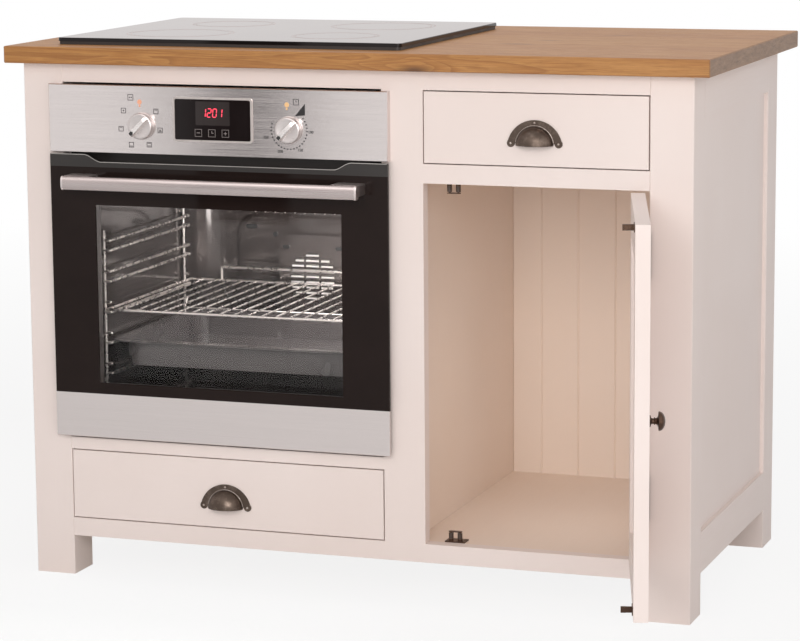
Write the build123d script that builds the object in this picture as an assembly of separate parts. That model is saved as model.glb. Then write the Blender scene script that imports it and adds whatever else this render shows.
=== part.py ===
from build123d import *
import math
import os

# A stove surround cabinet: a painted joinery frame on four square legs that carries a built-in
# oven above a wide drawer, a cupboard under a narrow drawer, a wooden worktop and a glass hob.
# Millimetres, +Z up, +X to the right of somebody who stands in front, +Y towards the back.
# Inside this file x = 0 is the middle of the frame, y = 0 its front face and z = 0 the floor;
# each piece is moved at the end so that the origin is under the middle of the front left leg.

# Frame members
leg = 70.0
edge_break = 1.0
rail_thick = 22.0
floor_clearance = 68.0
long_rail = 31.0
oven_rail = 20.5
drawer_rail = 31.0
stile_width = 70.0
frame_depth = 600.0
back_rail = 70.0
side_rail_low = 67.0
side_rail_high = 70.0
tenon_thick = 8.0
tenon_length = 20.0
tenon_shoulder = 5.0
stile_tenon = 15.0

# Openings in the front
oven_opening_width = 561.0
oven_opening_height = 600.0
cupboard_width = 372.0
wide_drawer_opening = 119.5
narrow_drawer_opening = 118.0

# Panels and boards
panel_thick = 8.0
panel_recess = 7.0
panel_groove = 10.0
panel_play = 1.0
board_thick = 18.0
housing = 6.0
back_board_thick = 12.0
back_board_pitch = 68.2
first_back_board = 53.5
tongue_length = 4.0
tongue_thick = 4.0
board_vee = 2.0
deck_back_gap = 40.0

# Drawers
reveal = 2.0
drawer_side = 12.0
drawer_side_height = 95.0
drawer_length = 480.0
drawer_bottom = 6.0
drawer_bottom_lift = 8.0
drawer_bottom_groove = 5.0
side_play = 1.0
running_gap = 0.3
ledge_width = 34.0
guide_height = 26.0
upper_runner_thick = 13.0

# Cup pulls
pull_arch_radius = 45.5
pull_arch_drop = 5.5
pull_dome_radius = 30.5
pull_projection = 24.0
pull_wall = 2.0
pull_drop = 24.0
pull_ear_radius = 6.4
pull_ear_spread = 39.1
pull_ear_rise = 3.0
pull_bead_width = 1.6
pull_bead_height = 0.8
pull_rivet_radius = 2.6
pull_rivet_height = 1.0
pull_rivet_inset = 4.4

# Worktop and its buttons
worktop_thick = 28.0
worktop_front = 25.0
worktop_back = 25.0
worktop_left = 24.0
worktop_right = 30.0
worktop_edge = 1.5
button_width = 30.0
button_reach = 24.0
button_height = 14.0
button_tongue = 6.0
button_tongue_height = 8.0

# Hob
hob_rest_side = 23.0
hob_rest_end = 13.0
hob_cutout_play = 1.0
hob_cutout_width = oven_opening_width - hob_cutout_play
hob_width = hob_cutout_width + 2 * hob_rest_side
hob_front = 31.0
hob_back_gap = 53.0
hob_depth = frame_depth - hob_front - hob_back_gap
hob_glass = 6.0
hob_corner = 8.0
hob_flange = 5.5
hob_flange_inset = 2.0
hob_cutout_depth = hob_depth - 2 * hob_rest_end
hob_case_gap = 2.0
hob_case_drop = 34.0
hob_sheet = 2.0
heater_large = 90.0
heater_small = 72.5
heater_spread_x = 140.0
heater_spread_y = 118.0
clamp_width = 18.0
clamp_thick = 2.0
clamp_grip = 20.0

# Oven body
oven_offset = -2.0
fascia_overlap = 17.0
fascia_width = oven_opening_width + 2 * fascia_overlap
fascia_proud = 14.0
fascia_gap = 2.5
casing_play = 3.5
casing_width = oven_opening_width - 2 * casing_play
casing_head_gap = 25.0
casing_height = oven_opening_height - casing_head_gap
casing_front = 26.0
casing_back_gap = 30.0
casing_back = frame_depth - casing_back_gap
sheet = 2.0
cavity_wall = 39.0
cavity_width = casing_width - 2 * cavity_wall
cavity_rise = 66.0
cavity_head_gap = 149.0
cavity_back = 450.0
cavity_corner = 60.0
terminal_width = 90.0
terminal_height = 60.0
terminal_depth = 22.0
terminal_side = 45.0
terminal_rise = 30.0
seal_inset = 6.0
seal_width = 8.0
seal_corner = 12.0

# Oven controls
panel_height = 112.5
display_width = 139.6
display_height = 73.0
display_frame = 3.2
display_lip = 2.0
display_proud = 2.0
display_depth = 10.0
display_corner = 5.0
display_drop = 53.0
display_left = 3.2
knob_spread = 129.6
knob_drop = 66.0
knob_radius = 22.5
knob_top_radius = 21.0
knob_disc = 10.0
knob_grip = 9.5
knob_grip_width = 12.0
knob_grip_top = 8.0
knob_rest_angle = 45.0
knob_gap = 0.5
knob_bore_depth = 12.0
spindle_radius = 3.0
spindle_play = 0.05
neck_radius = 5.0
switch_size = 44.0
switch_depth = 26.0
bracket_inset = 37.0
bracket_spread = casing_width / 2 - bracket_inset
bracket_drop = 6.0

# Fan
fan_rise = 158.0
fan_radius = 48.0
fan_hub_radius = 12.0
fan_depth = 16.0
fan_blades = 9
fan_blade_thick = 1.5
fan_shaft_radius = 4.0
fan_shaft_play = 0.05
fan_shaft_hole = 6.0
fan_back_gap = 4.0
fan_cover_width = 128.0
fan_cover_below = 71.0
fan_cover_above = 73.0
fan_cover_depth = 30.0
fan_cover_corner = 24.0
grille_radius = 43.0
grille_columns = 3
grille_pitch = 9.6
grille_slot = 4.0
grille_bridge = 4.5
motor_radius = 32.0
motor_length = 52.0

# Racks, shelf and tray
rack_rod = 2.5
rack_front = 50.0
rack_back_gap = 66.0
rack_back = cavity_back - rack_back_gap
rack_wall_gap = 3.0
rack_step = 10.0
rack_pitch = 52.5
rack_levels = 5
rack_rise = 36.7
rack_guard = 17.0
rack_peg = 3.0
shelf_level = 2
shelf_rod = 2.5
shelf_wire = 1.5
shelf_wires = 17
shelf_front = 45.0
shelf_back_gap = 50.0
shelf_depth = cavity_back - shelf_back_gap - shelf_front
shelf_overlap = 4.0
shelf_backrest = 24.0
shelf_backrest_inset = 60.0
shelf_brace_drop = 16.0
shelf_brace_reach = 145.0
shelf_brace_y = 150.0
tray_level = 1
tray_front = 50.0
tray_back_gap = 50.0
tray_depth = cavity_back - tray_back_gap - tray_front
tray_rim = 18.0
tray_height = 44.0
tray_wall = 2.0
tray_corner = 26.0

# Oven door
door_glass = 5.0
door_bottom_gap = 4.5
door_top_gap = 3.0
door_strip_height = 74.9
door_trim_height = 21.0
door_dip_depth = 12.0
door_dip_inset = 61.5
door_dip_curve = 31.0
door_dip_start = fascia_width / 2 - door_dip_inset
door_dip_end = door_dip_start - door_dip_curve
door_back = 22.0
door_inner_glass = 4.0
door_inner_glass_inset = 35.5
door_inner_glass_width = fascia_width - 2 * door_inner_glass_inset
door_inner_glass_rise = 18.5
door_inner_glass_drop = 19.0
door_frame_inset = 27.5
door_frame_width = fascia_width - 2 * door_frame_inset
door_frame_drop = 15.0
door_frame_wall = 2.0
door_flange_inset = 2.5
door_flange_width = fascia_width - 2 * door_flange_inset
door_flange_return = 6.0
window_inset = 80.0
window_width = fascia_width - 2 * window_inset
window_rise = 93.5
window_drop = 84.0
window_margin = 5.0
handle_inset = 38.5
handle_length = fascia_width - 2 * handle_inset
handle_drop = 32.5
handle_height = 23.0
handle_front = 58.0
handle_thick = 12.0
handle_round = 4.0
handle_lug = 48.0
handle_lug_height = 19.0
oven_hinge_y = -4.0
oven_hinge_rise = 3.5
oven_hinge_inset = 37.0
oven_hinge_spread = casing_width / 2 - oven_hinge_inset
oven_arm_thick = 5.0
oven_arm_radius = 3.5
oven_arm_gap = 0.5
oven_pin_radius = 2.0
oven_pin_play = 0.05
oven_pin_reach = 8.0
door_foot = 12.5

# Cupboard door
door_open = 106.0
door_member = 60.0
hinge_length = 75.0
hinge_knuckles = 5
hinge_knuckle_gap = 0.3
hinge_radius = 4.5
hinge_pin_radius = 2.0
hinge_pin_play = 0.05
hinge_leaf = 1.8
hinge_recess = 1.0
hinge_leaf_width = 20.0
hinge_stand_off = 5.0
hinge_inset_low = 100.0
hinge_inset_high = 100.0
door_knob_inset = 34.0
door_knob_rise = 294.0
door_knob_radius = 14.5
door_knob_rose = 9.0
door_knob_rose_thick = 3.0
door_knob_neck = 5.0
door_knob_neck_length = 13.0
door_knob_projection = 24.0
door_knob_stub = 3.0
door_knob_stub_depth = 12.0
catch_inset = 40.5
catch_offset = 11.0
catch_y = 28.0
roller_radius = 4.0
roller_height = 9.0
roller_gap = 7.0
roller_pin = 1.0
roller_play = 0.05
roller_float = 0.3
catch_length = 34.0
catch_depth = 22.0
catch_front = 23.0
catch_plate = 2.0
catch_pin_head = 2.0
catch_pin_head_height = 0.8
strike_plate = 1.5
strike_plate_width = 26.0
strike_plate_height = 12.0
strike_neck = 3.0
strike_neck_length = 8.5
strike_head = 4.5
strike_head_length = 8.0

# Levels and lines that follow from the sizes above
frame_width = 2 * leg + oven_opening_width + stile_width + cupboard_width
left = -frame_width / 2
right = frame_width / 2
oven_left = left + leg
oven_right = oven_left + oven_opening_width
cupboard_left = oven_right + stile_width
cupboard_right = right - leg
stile_middle = (oven_right + cupboard_left) / 2
bottom_rail_top = floor_clearance + long_rail
oven_rail_bottom = bottom_rail_top + wide_drawer_opening
oven_floor = oven_rail_bottom + oven_rail
top_rail_bottom = oven_floor + oven_opening_height
frame_top = top_rail_bottom + long_rail
narrow_drawer_bottom = top_rail_bottom - narrow_drawer_opening
cupboard_top = narrow_drawer_bottom - drawer_rail
worktop_top = frame_top + worktop_thick
back_legs = frame_depth - leg
back_rail_front = frame_depth - rail_thick
board_face = back_rail_front - back_board_thick
partition_left = stile_middle - board_thick / 2
partition_right = stile_middle + board_thick / 2
side_inside = right - rail_thick
panel_inside = right - panel_recess - panel_thick
side_panel_bottom = floor_clearance + side_rail_low
side_panel_top = frame_top - side_rail_high
oven_middle = (oven_left + oven_right) / 2 + oven_offset
hob_x = (oven_left + oven_right) / 2
hob_y = hob_front + hob_depth / 2
display_x = oven_middle - display_left
casing_top = oven_floor + casing_height
cavity_low = oven_floor + cavity_rise
cavity_high = casing_top - cavity_head_gap
cavity_height = cavity_high - cavity_low
fan_z = cavity_low + fan_rise
fan_cover_low = fan_z - fan_cover_below
fan_cover_top = fan_z + fan_cover_above
rack_first = cavity_low + rack_rise
fascia_face = -fascia_proud
fascia_top = top_rail_bottom - fascia_gap
panel_bottom = fascia_top - panel_height
display_z = fascia_top - display_drop
knob_z = fascia_top - knob_drop
door_bottom = oven_floor + door_bottom_gap
door_top = panel_bottom - door_top_gap
door_strip_top = door_bottom + door_strip_height
door_trim_bottom = door_top - door_trim_height
door_trim_dip = door_top - door_dip_depth
door_inner_glass_bottom = door_bottom + door_inner_glass_rise
door_inner_glass_top = door_top - door_inner_glass_drop
door_frame_top = door_top - door_frame_drop
window_bottom = door_bottom + window_rise
window_top = door_top - window_drop
handle_top = door_top - handle_drop
handle_bottom = handle_top - handle_height
oven_hinge_z = door_bottom + oven_hinge_rise
glass_back = fascia_face + door_glass
hinge_x = cupboard_right - (reveal / 2)
door_left = cupboard_left + reveal
door_right = cupboard_right - reveal
cupboard_door_bottom = bottom_rail_top + reveal
cupboard_door_top = cupboard_top - reveal
door_knob_x = door_left + door_knob_inset
door_knob_z = cupboard_door_bottom + door_knob_rise
catch_x = door_left + catch_inset
rack_x = cavity_width / 2 - rack_wall_gap - rack_rod
rail_rod_x = rack_x - rack_step


def slab(x, y, z):
    """A box from its low and high limits along each axis."""
    middle = Pos((x[0] + x[1]) / 2, (y[0] + y[1]) / 2, (z[0] + z[1]) / 2)
    return middle * Box(x[1] - x[0], y[1] - y[0], z[1] - z[0])


def around(middle, width):
    """The low and high limits of a width about its middle."""
    return (middle - width / 2, middle + width / 2)


def mirrored(limits):
    """The same limits on the other side of x = 0."""
    return (-limits[1], -limits[0])


def rod(start, end, radius):
    """A round bar between two points."""
    run = Vector(*end) - Vector(*start)
    plane = Plane(origin=start, z_dir=run)
    return plane * Cylinder(radius, run.length, align=(Align.CENTER, Align.CENTER, Align.MIN))


def bent_rod(points, radius):
    """A round bar through several points, with a ball at each bend."""
    bar = rod(points[0], points[1], radius)
    for start, end in zip(points[1:], points[2:]):
        bar += Pos(*start) * Sphere(radius)
        bar += rod(start, end, radius)
    return bar


def turned(profile):
    """A closed outline in radius and depth, turned about the Y axis."""
    return revolve(make_face(Polyline(*profile, close=True)), Axis.Y, 360)


def dome_arc(radius, base, tip):
    """The arc of a shallow dome in radius and depth, from its rim to its tip on the axis."""
    rise = base - tip
    curve = (radius ** 2 + rise ** 2) / (2 * rise)
    half = math.asin(radius / curve) / 2
    middle = (curve * math.sin(half), tip + curve - curve * math.cos(half))
    return ThreePointArc((radius, base), middle, (0, tip))


def frame_member(limits, along, through, shoulder=tenon_shoulder, length=tenon_length):
    """A rail or stile with a tenon, centred in its thickness, on both ends."""
    tenon = []
    for axis, (low, high) in enumerate(limits):
        if axis == along:
            tenon.append((low - length, high + length))
        elif axis == through:
            tenon.append(around((low + high) / 2, tenon_thick))
        else:
            tenon.append((low + shoulder, high - shoulder))
    return slab(*limits) + slab(*tenon)


def front_rails():
    """Bottom and top rail across the whole front, bored for the tenons of the stile."""
    rails = []
    for z in ((floor_clearance, bottom_rail_top), (top_rail_bottom, frame_top)):
        rail = frame_member(((oven_left, cupboard_right), (0, rail_thick), z), 0, 1)
        rails.append(rail - centre_stile() - buttons())
    return rails


def centre_stile():
    """The upright between the oven and the cupboard, mortised for the two short rails."""
    limits = ((oven_right, cupboard_left), (0, rail_thick), (bottom_rail_top, top_rail_bottom))
    stile = frame_member(limits, 2, 1, tenon_shoulder, stile_tenon)
    return stile - short_rails()


def short_rails():
    """The rail under the oven and the rail under the narrow drawer."""
    rails = Part()
    rails += frame_member(((oven_left, oven_right), (0, rail_thick), (oven_rail_bottom, oven_floor)), 0, 1)
    z = (cupboard_top, narrow_drawer_bottom)
    rails += frame_member(((cupboard_left, cupboard_right), (0, rail_thick), z), 0, 1)
    return rails


def side_rails():
    """Lower and upper rail on each side, grooved for the panel."""
    rails = []
    shoulder = panel_groove + panel_play
    outer = (right - rail_thick, right)
    for x in (outer, mirrored(outer)):
        for z in ((floor_clearance, side_panel_bottom), (side_panel_top, frame_top)):
            rail = frame_member((x, (leg, back_legs), z), 1, 0, shoulder)
            rails.append(rail - panel_grooves() - buttons())
    return rails


def panel_grooves():
    """The space that the side panels' grooves take in the rails and legs."""
    x = (panel_inside, right - panel_recess)
    y = (leg - panel_groove, back_legs + panel_groove)
    z = (side_panel_bottom - panel_groove, side_panel_top + panel_groove)
    groove = slab(x, y, z)
    return groove + slab(mirrored(x), y, z)


def side_panels():
    """The recessed panel on each side, held in the grooves with a little play."""
    x = (panel_inside, right - panel_recess)
    y = (leg - panel_groove + panel_play, back_legs + panel_groove - panel_play)
    z = (side_panel_bottom - panel_groove, side_panel_top + panel_groove - panel_play)
    return [slab(x, y, z), slab(mirrored(x), y, z)]


def back_rails():
    """Lower and upper rail between the back legs."""
    rails = []
    for z in ((floor_clearance, floor_clearance + back_rail), (frame_top - back_rail, frame_top)):
        rail = frame_member(((oven_left, cupboard_right), (back_rail_front, frame_depth), z), 0, 1)
        rails.append(rail - buttons())
    return rails


def legs():
    """The four square legs: front left, front right, back left, back right."""
    joints = Part() + front_rails() + [short_rails()] + side_rails() + back_rails() + [panel_grooves()]
    posts = []
    for y in ((0, leg), (back_legs, frame_depth)):
        for x in ((left, left + leg), (right - leg, right)):
            post = slab(x, y, (0, frame_top))
            post = chamfer(post.edges().filter_by(Axis.Z), edge_break)
            posts.append(post - joints)
    posts[1] -= Part() + hinge_leaves_fixed()
    return posts


def leg_space():
    """The square columns that the legs take, for boards that are notched round them."""
    space = Part()
    for x in ((left, left + leg), (right - leg, right)):
        for y in ((0, leg), (back_legs, frame_depth)):
            space += slab(x, y, (0, frame_top))
    return space


def back_boards():
    """Tongue-and-groove boards behind the cupboard, each with a small vee at its long edges."""
    span = cupboard_right - partition_right
    joints = round((span - first_back_board) / back_board_pitch)
    first_joint = partition_right + first_back_board
    edges = [partition_right] + [first_joint + back_board_pitch * i for i in range(joints)] + [cupboard_right]
    middle = (board_face + back_rail_front) / 2
    tongue_y = around(middle, tongue_thick)
    z = (floor_clearance, frame_top)
    boards = []
    for low, high in zip(edges, edges[1:]):
        board = slab((low, high), (board_face, back_rail_front), z)
        front = board.edges().filter_by(Axis.Z).group_by(Axis.Y)[0]
        board = chamfer(front, board_vee)
        if high < cupboard_right:
            board += slab((high, high + tongue_length), tongue_y, z)
        if low > partition_right:
            board -= slab((low, low + tongue_length), tongue_y, z)
        boards.append(board)
    return boards


def shelf_board(x, z, back):
    """A fixed horizontal board, housed in the partition and notched round the legs."""
    return slab(x, (rail_thick, back), z) - leg_space()


def cupboard_floor():
    z = (bottom_rail_top - board_thick, bottom_rail_top)
    return shelf_board((partition_right - housing, side_inside), z, board_face)


def drawer_divider():
    z = (cupboard_top, cupboard_top + board_thick)
    return shelf_board((partition_right - housing, panel_inside), z, board_face)


def oven_deck():
    z = (oven_floor - board_thick, oven_floor)
    return shelf_board((-panel_inside, partition_left + housing), z, frame_depth - deck_back_gap)


def centre_partition():
    """The upright board behind the stile, housed for the three fixed boards."""
    x = (partition_left, partition_right)
    board = slab(x, (rail_thick, back_rail_front), (floor_clearance, frame_top))
    return board - cupboard_floor() - drawer_divider() - oven_deck()


def drawer_runners():
    """Hardwood ledges under the drawer sides, each with an upright guide beside the drawer."""
    low = (bottom_rail_top - board_thick, bottom_rail_top)
    depth = (rail_thick, back_rail_front)
    between_legs = (leg, back_legs)
    wide_left = slab((oven_left, oven_left + ledge_width), depth, low)
    wide_left += slab((-side_inside, oven_left), between_legs, (low[0], low[1] + guide_height))
    wide_right = slab((oven_right - ledge_width, partition_left), depth, low)
    wide_right += slab((oven_right, partition_left), depth, (low[1], low[1] + guide_height))
    high = (narrow_drawer_bottom - upper_runner_thick, narrow_drawer_bottom)
    depth = (rail_thick, board_face)
    narrow_left = slab((partition_right, cupboard_left + ledge_width), depth, high)
    narrow_left += slab((partition_right, cupboard_left), depth, (high[1], high[1] + guide_height))
    narrow_right = slab((cupboard_right - ledge_width, cupboard_right), depth, high)
    narrow_right += slab((cupboard_right, side_inside), between_legs, (high[0], high[1] + guide_height))
    boards = drawer_divider() + leg_space()
    return [wide_left, wide_right, narrow_left - boards, narrow_right - boards]


def buttons():
    """Wooden buttons under the worktop, each with its tongue in a slot of a rail."""
    z = (frame_top - button_height, frame_top)
    tongue_z = (z[0], z[0] + button_tongue_height)
    made = Part()
    for y in (leg + button_reach * 2, back_legs - button_reach * 2):
        for side in (-1, 1):
            reach = sorted((side * side_inside, side * (side_inside - button_reach)))
            tongue = sorted((side * side_inside, side * (side_inside + button_tongue)))
            made += slab(reach, around(y, button_width), z)
            made += slab(tongue, around(y, button_width), tongue_z)
    for x in (oven_middle, (cupboard_left + cupboard_right) / 2):
        front = back_rail_front if x < partition_left else board_face
        made += slab(around(x, button_width), (front - button_reach, front), z)
    return made


def worktop_buttons():
    return buttons().solids()


def drawer_front(x, z):
    """An inset drawer front, flush with the frame, with an even gap round it."""
    front = slab((x[0] + reveal, x[1] - reveal), (0, rail_thick), (z[0] + reveal, z[1] - reveal))
    return front - drawer_panel(x, z)


def drawer_panel(x, z):
    """The bottom panel of a drawer, let into grooves in the sides and the front."""
    low = z[0] + running_gap + drawer_bottom_lift
    inner = (x[0] + side_play + drawer_side, x[1] - side_play - drawer_side)
    across = (inner[0] - drawer_bottom_groove, inner[1] + drawer_bottom_groove)
    deep = (rail_thick - drawer_bottom_groove, rail_thick + drawer_length)
    return slab(across, deep, (low, low + drawer_bottom))


def drawer_box(x, z):
    """The sides, back and bottom of a drawer behind its front."""
    outer = (x[0] + side_play, x[1] - side_play)
    low = z[0] + running_gap
    high = (low, low + drawer_side_height)
    deep = (rail_thick, rail_thick + drawer_length)
    panel = drawer_panel(x, z)
    pieces = [slab((outer[0], outer[0] + drawer_side), deep, high) - panel]
    pieces.append(slab((outer[1] - drawer_side, outer[1]), deep, high) - panel)
    across = (outer[0] + drawer_side, outer[1] - drawer_side)
    above = (low + drawer_bottom_lift + drawer_bottom, high[1])
    pieces.append(slab(across, (deep[1] - drawer_side, deep[1]), above))
    pieces.append(panel)
    return pieces


def cup_plate():
    """The arched plate of a cup pull, with a round ear at each end of the arch."""
    arch = rod((0, 0, -pull_arch_drop), (0, -pull_wall, -pull_arch_drop), pull_arch_radius)
    arch &= slab((-pull_arch_radius, pull_arch_radius), (-pull_wall, 0), (pull_ear_rise, pull_arch_radius))
    for side in (-1, 1):
        ear = (side * pull_ear_spread, 0, pull_ear_rise)
        arch += rod(ear, (ear[0], -pull_wall, ear[2]), pull_ear_radius)
    return arch - rod((0, 0, 0), (0, -pull_wall, 0), pull_dome_radius - pull_wall)


def cup_dome():
    """The half dome of a cup pull, open underneath."""
    dome = pull_dome_radius
    inner = dome - pull_wall
    tip = pull_projection - pull_wall
    outline = Polyline((inner, -pull_wall), (inner, 0), (dome, 0), (dome, -pull_wall))
    outline += EllipticalCenterArc((0, -pull_wall), dome, tip, 0, arc_size=-90)
    outline += Line((0, -pull_projection), (0, -tip))
    outline += EllipticalCenterArc((0, -pull_wall), inner, tip - pull_wall, 0, arc_size=-90)
    return revolve(make_face(outline), Axis.Y, -180)


def cup_pull(x, z):
    """A half-round cup pull on its arched plate, with a bead round the dome and three rivets."""
    face = -pull_wall
    bead = face - pull_bead_height
    shell = cup_plate() + cup_dome()
    ring = rod((0, face, 0), (0, bead, 0), pull_dome_radius + pull_bead_width)
    ring -= rod((0, face, 0), (0, bead, 0), pull_dome_radius)
    reach = pull_dome_radius + pull_bead_width
    shell += ring & slab((-reach, reach), (bead, face), (pull_ear_rise, reach))
    top = pull_arch_radius - pull_arch_drop - pull_rivet_inset
    spots = [(0, top), (pull_ear_spread, pull_ear_rise), (-pull_ear_spread, pull_ear_rise)]
    for across, up in spots:
        shell += rod((across, face, up), (across, face - pull_rivet_height, up), pull_rivet_radius)
    middle = ((x[0] + x[1]) / 2, 0, (z[0] + z[1]) / 2 - pull_drop)
    return Pos(*middle) * shell


def worktop():
    """The worktop with its overhangs and the cut-out for the hob."""
    x = (left - worktop_left, right + worktop_right)
    y = (-worktop_front, frame_depth + worktop_back)
    top = slab(x, y, (frame_top, worktop_top))
    top = chamfer(top.edges(), worktop_edge)
    cutout = slab(around(hob_x, hob_cutout_width), around(hob_y, hob_cutout_depth), (frame_top, worktop_top))
    return top - cutout


def hob_plate():
    """The glass plate with rounded corners and a softened upper edge."""
    low = worktop_top + hob_flange
    plate = slab(around(hob_x, hob_width), around(hob_y, hob_depth), (low, low + hob_glass))
    plate = fillet(plate.edges().filter_by(Axis.Z), hob_corner)
    return chamfer(plate.faces().sort_by(Axis.Z)[-1].edges(), edge_break)


def hob_case():
    """The sheet case in the cut-out, open at the top, with the flange under the glass."""
    across = around(hob_x, hob_cutout_width - 2 * hob_case_gap)
    deep = around(hob_y, hob_cutout_depth - 2 * hob_case_gap)
    low = worktop_top - hob_case_drop
    high = worktop_top + hob_flange
    case = slab(across, deep, (low, high))
    rim_x = around(hob_x, hob_width - 2 * hob_flange_inset)
    rim_y = around(hob_y, hob_depth - 2 * hob_flange_inset)
    flange = slab(rim_x, rim_y, (worktop_top, high))
    flange = fillet(flange.edges().filter_by(Axis.Z), hob_corner - hob_flange_inset)
    inside_x = (across[0] + hob_sheet, across[1] - hob_sheet)
    inside_y = (deep[0] + hob_sheet, deep[1] - hob_sheet)
    return case + flange - slab(inside_x, inside_y, (low + hob_sheet, high))


def hob_heaters():
    """Four round heaters between the case floor and the glass."""
    low = worktop_top - hob_case_drop + hob_sheet
    high = worktop_top + hob_flange
    made = []
    for side in (-1, 1):
        for deep in (-1, 1):
            radius = heater_large if side == deep else heater_small
            x = hob_x + side * heater_spread_x
            y = hob_y + deep * heater_spread_y
            made.append(rod((x, y, low), (x, y, high), radius))
    return made


def hob_clamps():
    """Four cranked straps that pull the hob case down against the worktop."""
    case_edge = hob_cutout_width / 2 - hob_case_gap
    low = worktop_top - hob_case_drop
    made = []
    for side in (-1, 1):
        for y in (hob_y - heater_spread_y, hob_y + heater_spread_y):
            outer = hob_cutout_width / 2 + clamp_grip
            strap = sorted((hob_x + side * (case_edge - clamp_grip), hob_x + side * outer))
            upright = sorted((hob_x + side * (outer - clamp_thick), hob_x + side * outer))
            bar = slab(strap, around(y, clamp_width), (low - clamp_thick, low))
            made.append(bar + slab(upright, around(y, clamp_width), (low, frame_top)))
    return made


def oven_casing():
    """The sheet casing with its front plate, and the terminal cover on its back."""
    x = around(oven_middle, casing_width)
    z = (oven_floor, casing_top)
    y = (casing_front, casing_back)
    outer = slab(x, y, z)
    inner = slab(*[(low + sheet, high - sheet) for low, high in (x, y, z)])
    mouth_y = (casing_front, casing_front + sheet)
    mouth = slab(around(oven_middle, cavity_width), mouth_y, (cavity_low, cavity_high))
    terminal_x = (x[1] - terminal_side - terminal_width, x[1] - terminal_side)
    terminal_z = (z[0] + terminal_rise, z[0] + terminal_rise + terminal_height)
    terminal = slab(terminal_x, (casing_back, casing_back + terminal_depth), terminal_z)
    terminal = chamfer(terminal.faces().sort_by(Axis.Y)[-1].edges(), sheet)
    return [outer - inner - mouth, terminal]


def liner_plan(grow):
    """The cavity seen from above, with its rounded back corners, grown outwards by a wall."""
    half = cavity_width / 2 + grow
    front = casing_front + sheet
    back = cavity_back + grow
    radius = cavity_corner + grow
    corner = radius * math.sin(math.radians(45))
    centre_y = back - radius
    centre_x = half - radius
    path = Polyline((-centre_x, back), (centre_x, back))
    path += ThreePointArc((centre_x, back), (centre_x + corner, centre_y + corner), (half, centre_y))
    path += Polyline((half, centre_y), (half, front), (-half, front), (-half, centre_y))
    path += ThreePointArc((-half, centre_y), (-centre_x - corner, centre_y + corner), (-centre_x, back))
    return Pos(oven_middle, 0, 0) * make_face(path)


def oven_cavity():
    """The enamelled liner, open at the front, with the hole for the fan shaft."""
    outer = Pos(0, 0, cavity_low - sheet) * extrude(liner_plan(sheet), cavity_height + 2 * sheet)
    inner = Pos(0, 0, cavity_low) * extrude(liner_plan(0), cavity_height)
    back = (oven_middle, cavity_back - sheet, fan_z)
    hole = rod(back, (oven_middle, cavity_back + 2 * sheet, fan_z), fan_shaft_hole)
    return outer - inner - hole


def control_panel():
    """The folded steel front above the door, with the display window and the switch holes."""
    x = around(oven_middle, fascia_width)
    z = (panel_bottom, fascia_top)
    shell = slab(x, (fascia_face, 0), z)
    shell = chamfer(shell.faces().sort_by(Axis.Y)[0].edges(), edge_break)
    shell -= slab((x[0] + sheet, x[1] - sheet), (fascia_face + sheet, 0), (z[0] + sheet, z[1] - sheet))
    for side in (-1, 1):
        bracket_x = around(oven_middle + side * bracket_spread, sheet)
        bracket_z = (panel_bottom + bracket_drop, casing_top)
        shell += slab(bracket_x, (fascia_face + sheet, casing_front), bracket_z)
        spot = oven_middle + side * knob_spread
        shell -= rod((spot, fascia_face, knob_z), (spot, fascia_face + sheet, knob_z), neck_radius)
    hole = (display_width - 2 * display_lip, display_height - 2 * display_lip)
    skin = (fascia_face, fascia_face + sheet)
    window = slab(around(display_x, hole[0]), skin, around(display_z, hole[1]))
    return shell - window


def display_bezel():
    """The rounded frame of the display, with a lip in front of the panel."""
    front = (fascia_face - display_proud, fascia_face)
    lip = slab(around(display_x, display_width), front, around(display_z, display_height))
    lip = fillet(lip.edges().filter_by(Axis.Y), display_corner)
    body_x = around(display_x, display_width - 2 * display_lip)
    body_z = around(display_z, display_height - 2 * display_lip)
    body = slab(body_x, (fascia_face, fascia_face + display_depth), body_z)
    return lip + body - display_glass_block(fascia_face - display_proud, fascia_face + display_depth)


def display_glass_block(front, back):
    """The rounded block that fills the display frame between two depths."""
    x = around(display_x, display_width - 2 * display_frame)
    z = around(display_z, display_height - 2 * display_frame)
    block = slab(x, (front, back), z)
    return fillet(block.edges().filter_by(Axis.Y), display_corner - display_lip)


def display_glass():
    return display_glass_block(fascia_face - display_proud / 2, fascia_face + display_proud)


def control_switches():
    """Two rotary switches behind the panel, each with a neck through it and a spindle."""
    made = []
    for side in (-1, 1):
        x = oven_middle + side * knob_spread
        back = fascia_face + sheet
        switch = slab(around(x, switch_size), (back, back + switch_depth), around(knob_z, switch_size))
        switch += rod((x, fascia_face, knob_z), (x, back, knob_z), neck_radius)
        tip = fascia_face - knob_gap - knob_bore_depth
        switch += rod((x, tip, knob_z), (x, back, knob_z), spindle_radius)
        made.append(switch)
    return made


def oven_knob(side):
    """A round knob with a raised diagonal grip, on the spindle of its switch."""
    base = fascia_face - knob_gap
    middle = (oven_middle + side * knob_spread, base, knob_z)
    top = -knob_disc
    tip = top - knob_grip
    rim = [(knob_radius, 0), (knob_top_radius, top + edge_break), (knob_top_radius - edge_break, top)]
    disc = turned([(0, 0)] + rim + [(0, top)])
    low = Pos(0, top, 0) * Rotation(90, 0, 0) * Rectangle(2 * knob_radius, knob_grip_width)
    high = Pos(0, tip, 0) * Rotation(90, 0, 0) * Rectangle(2 * knob_top_radius, knob_grip_top)
    grip = loft([low, high]) & rod((0, 0, 0), (0, tip, 0), knob_top_radius)
    knob = disc + Rotation(0, -knob_rest_angle, 0) * grip
    bore_radius = spindle_radius + spindle_play
    knob -= rod((0, 0, 0), (0, -knob_bore_depth - knob_gap, 0), bore_radius)
    return Pos(*middle) * knob


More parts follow.
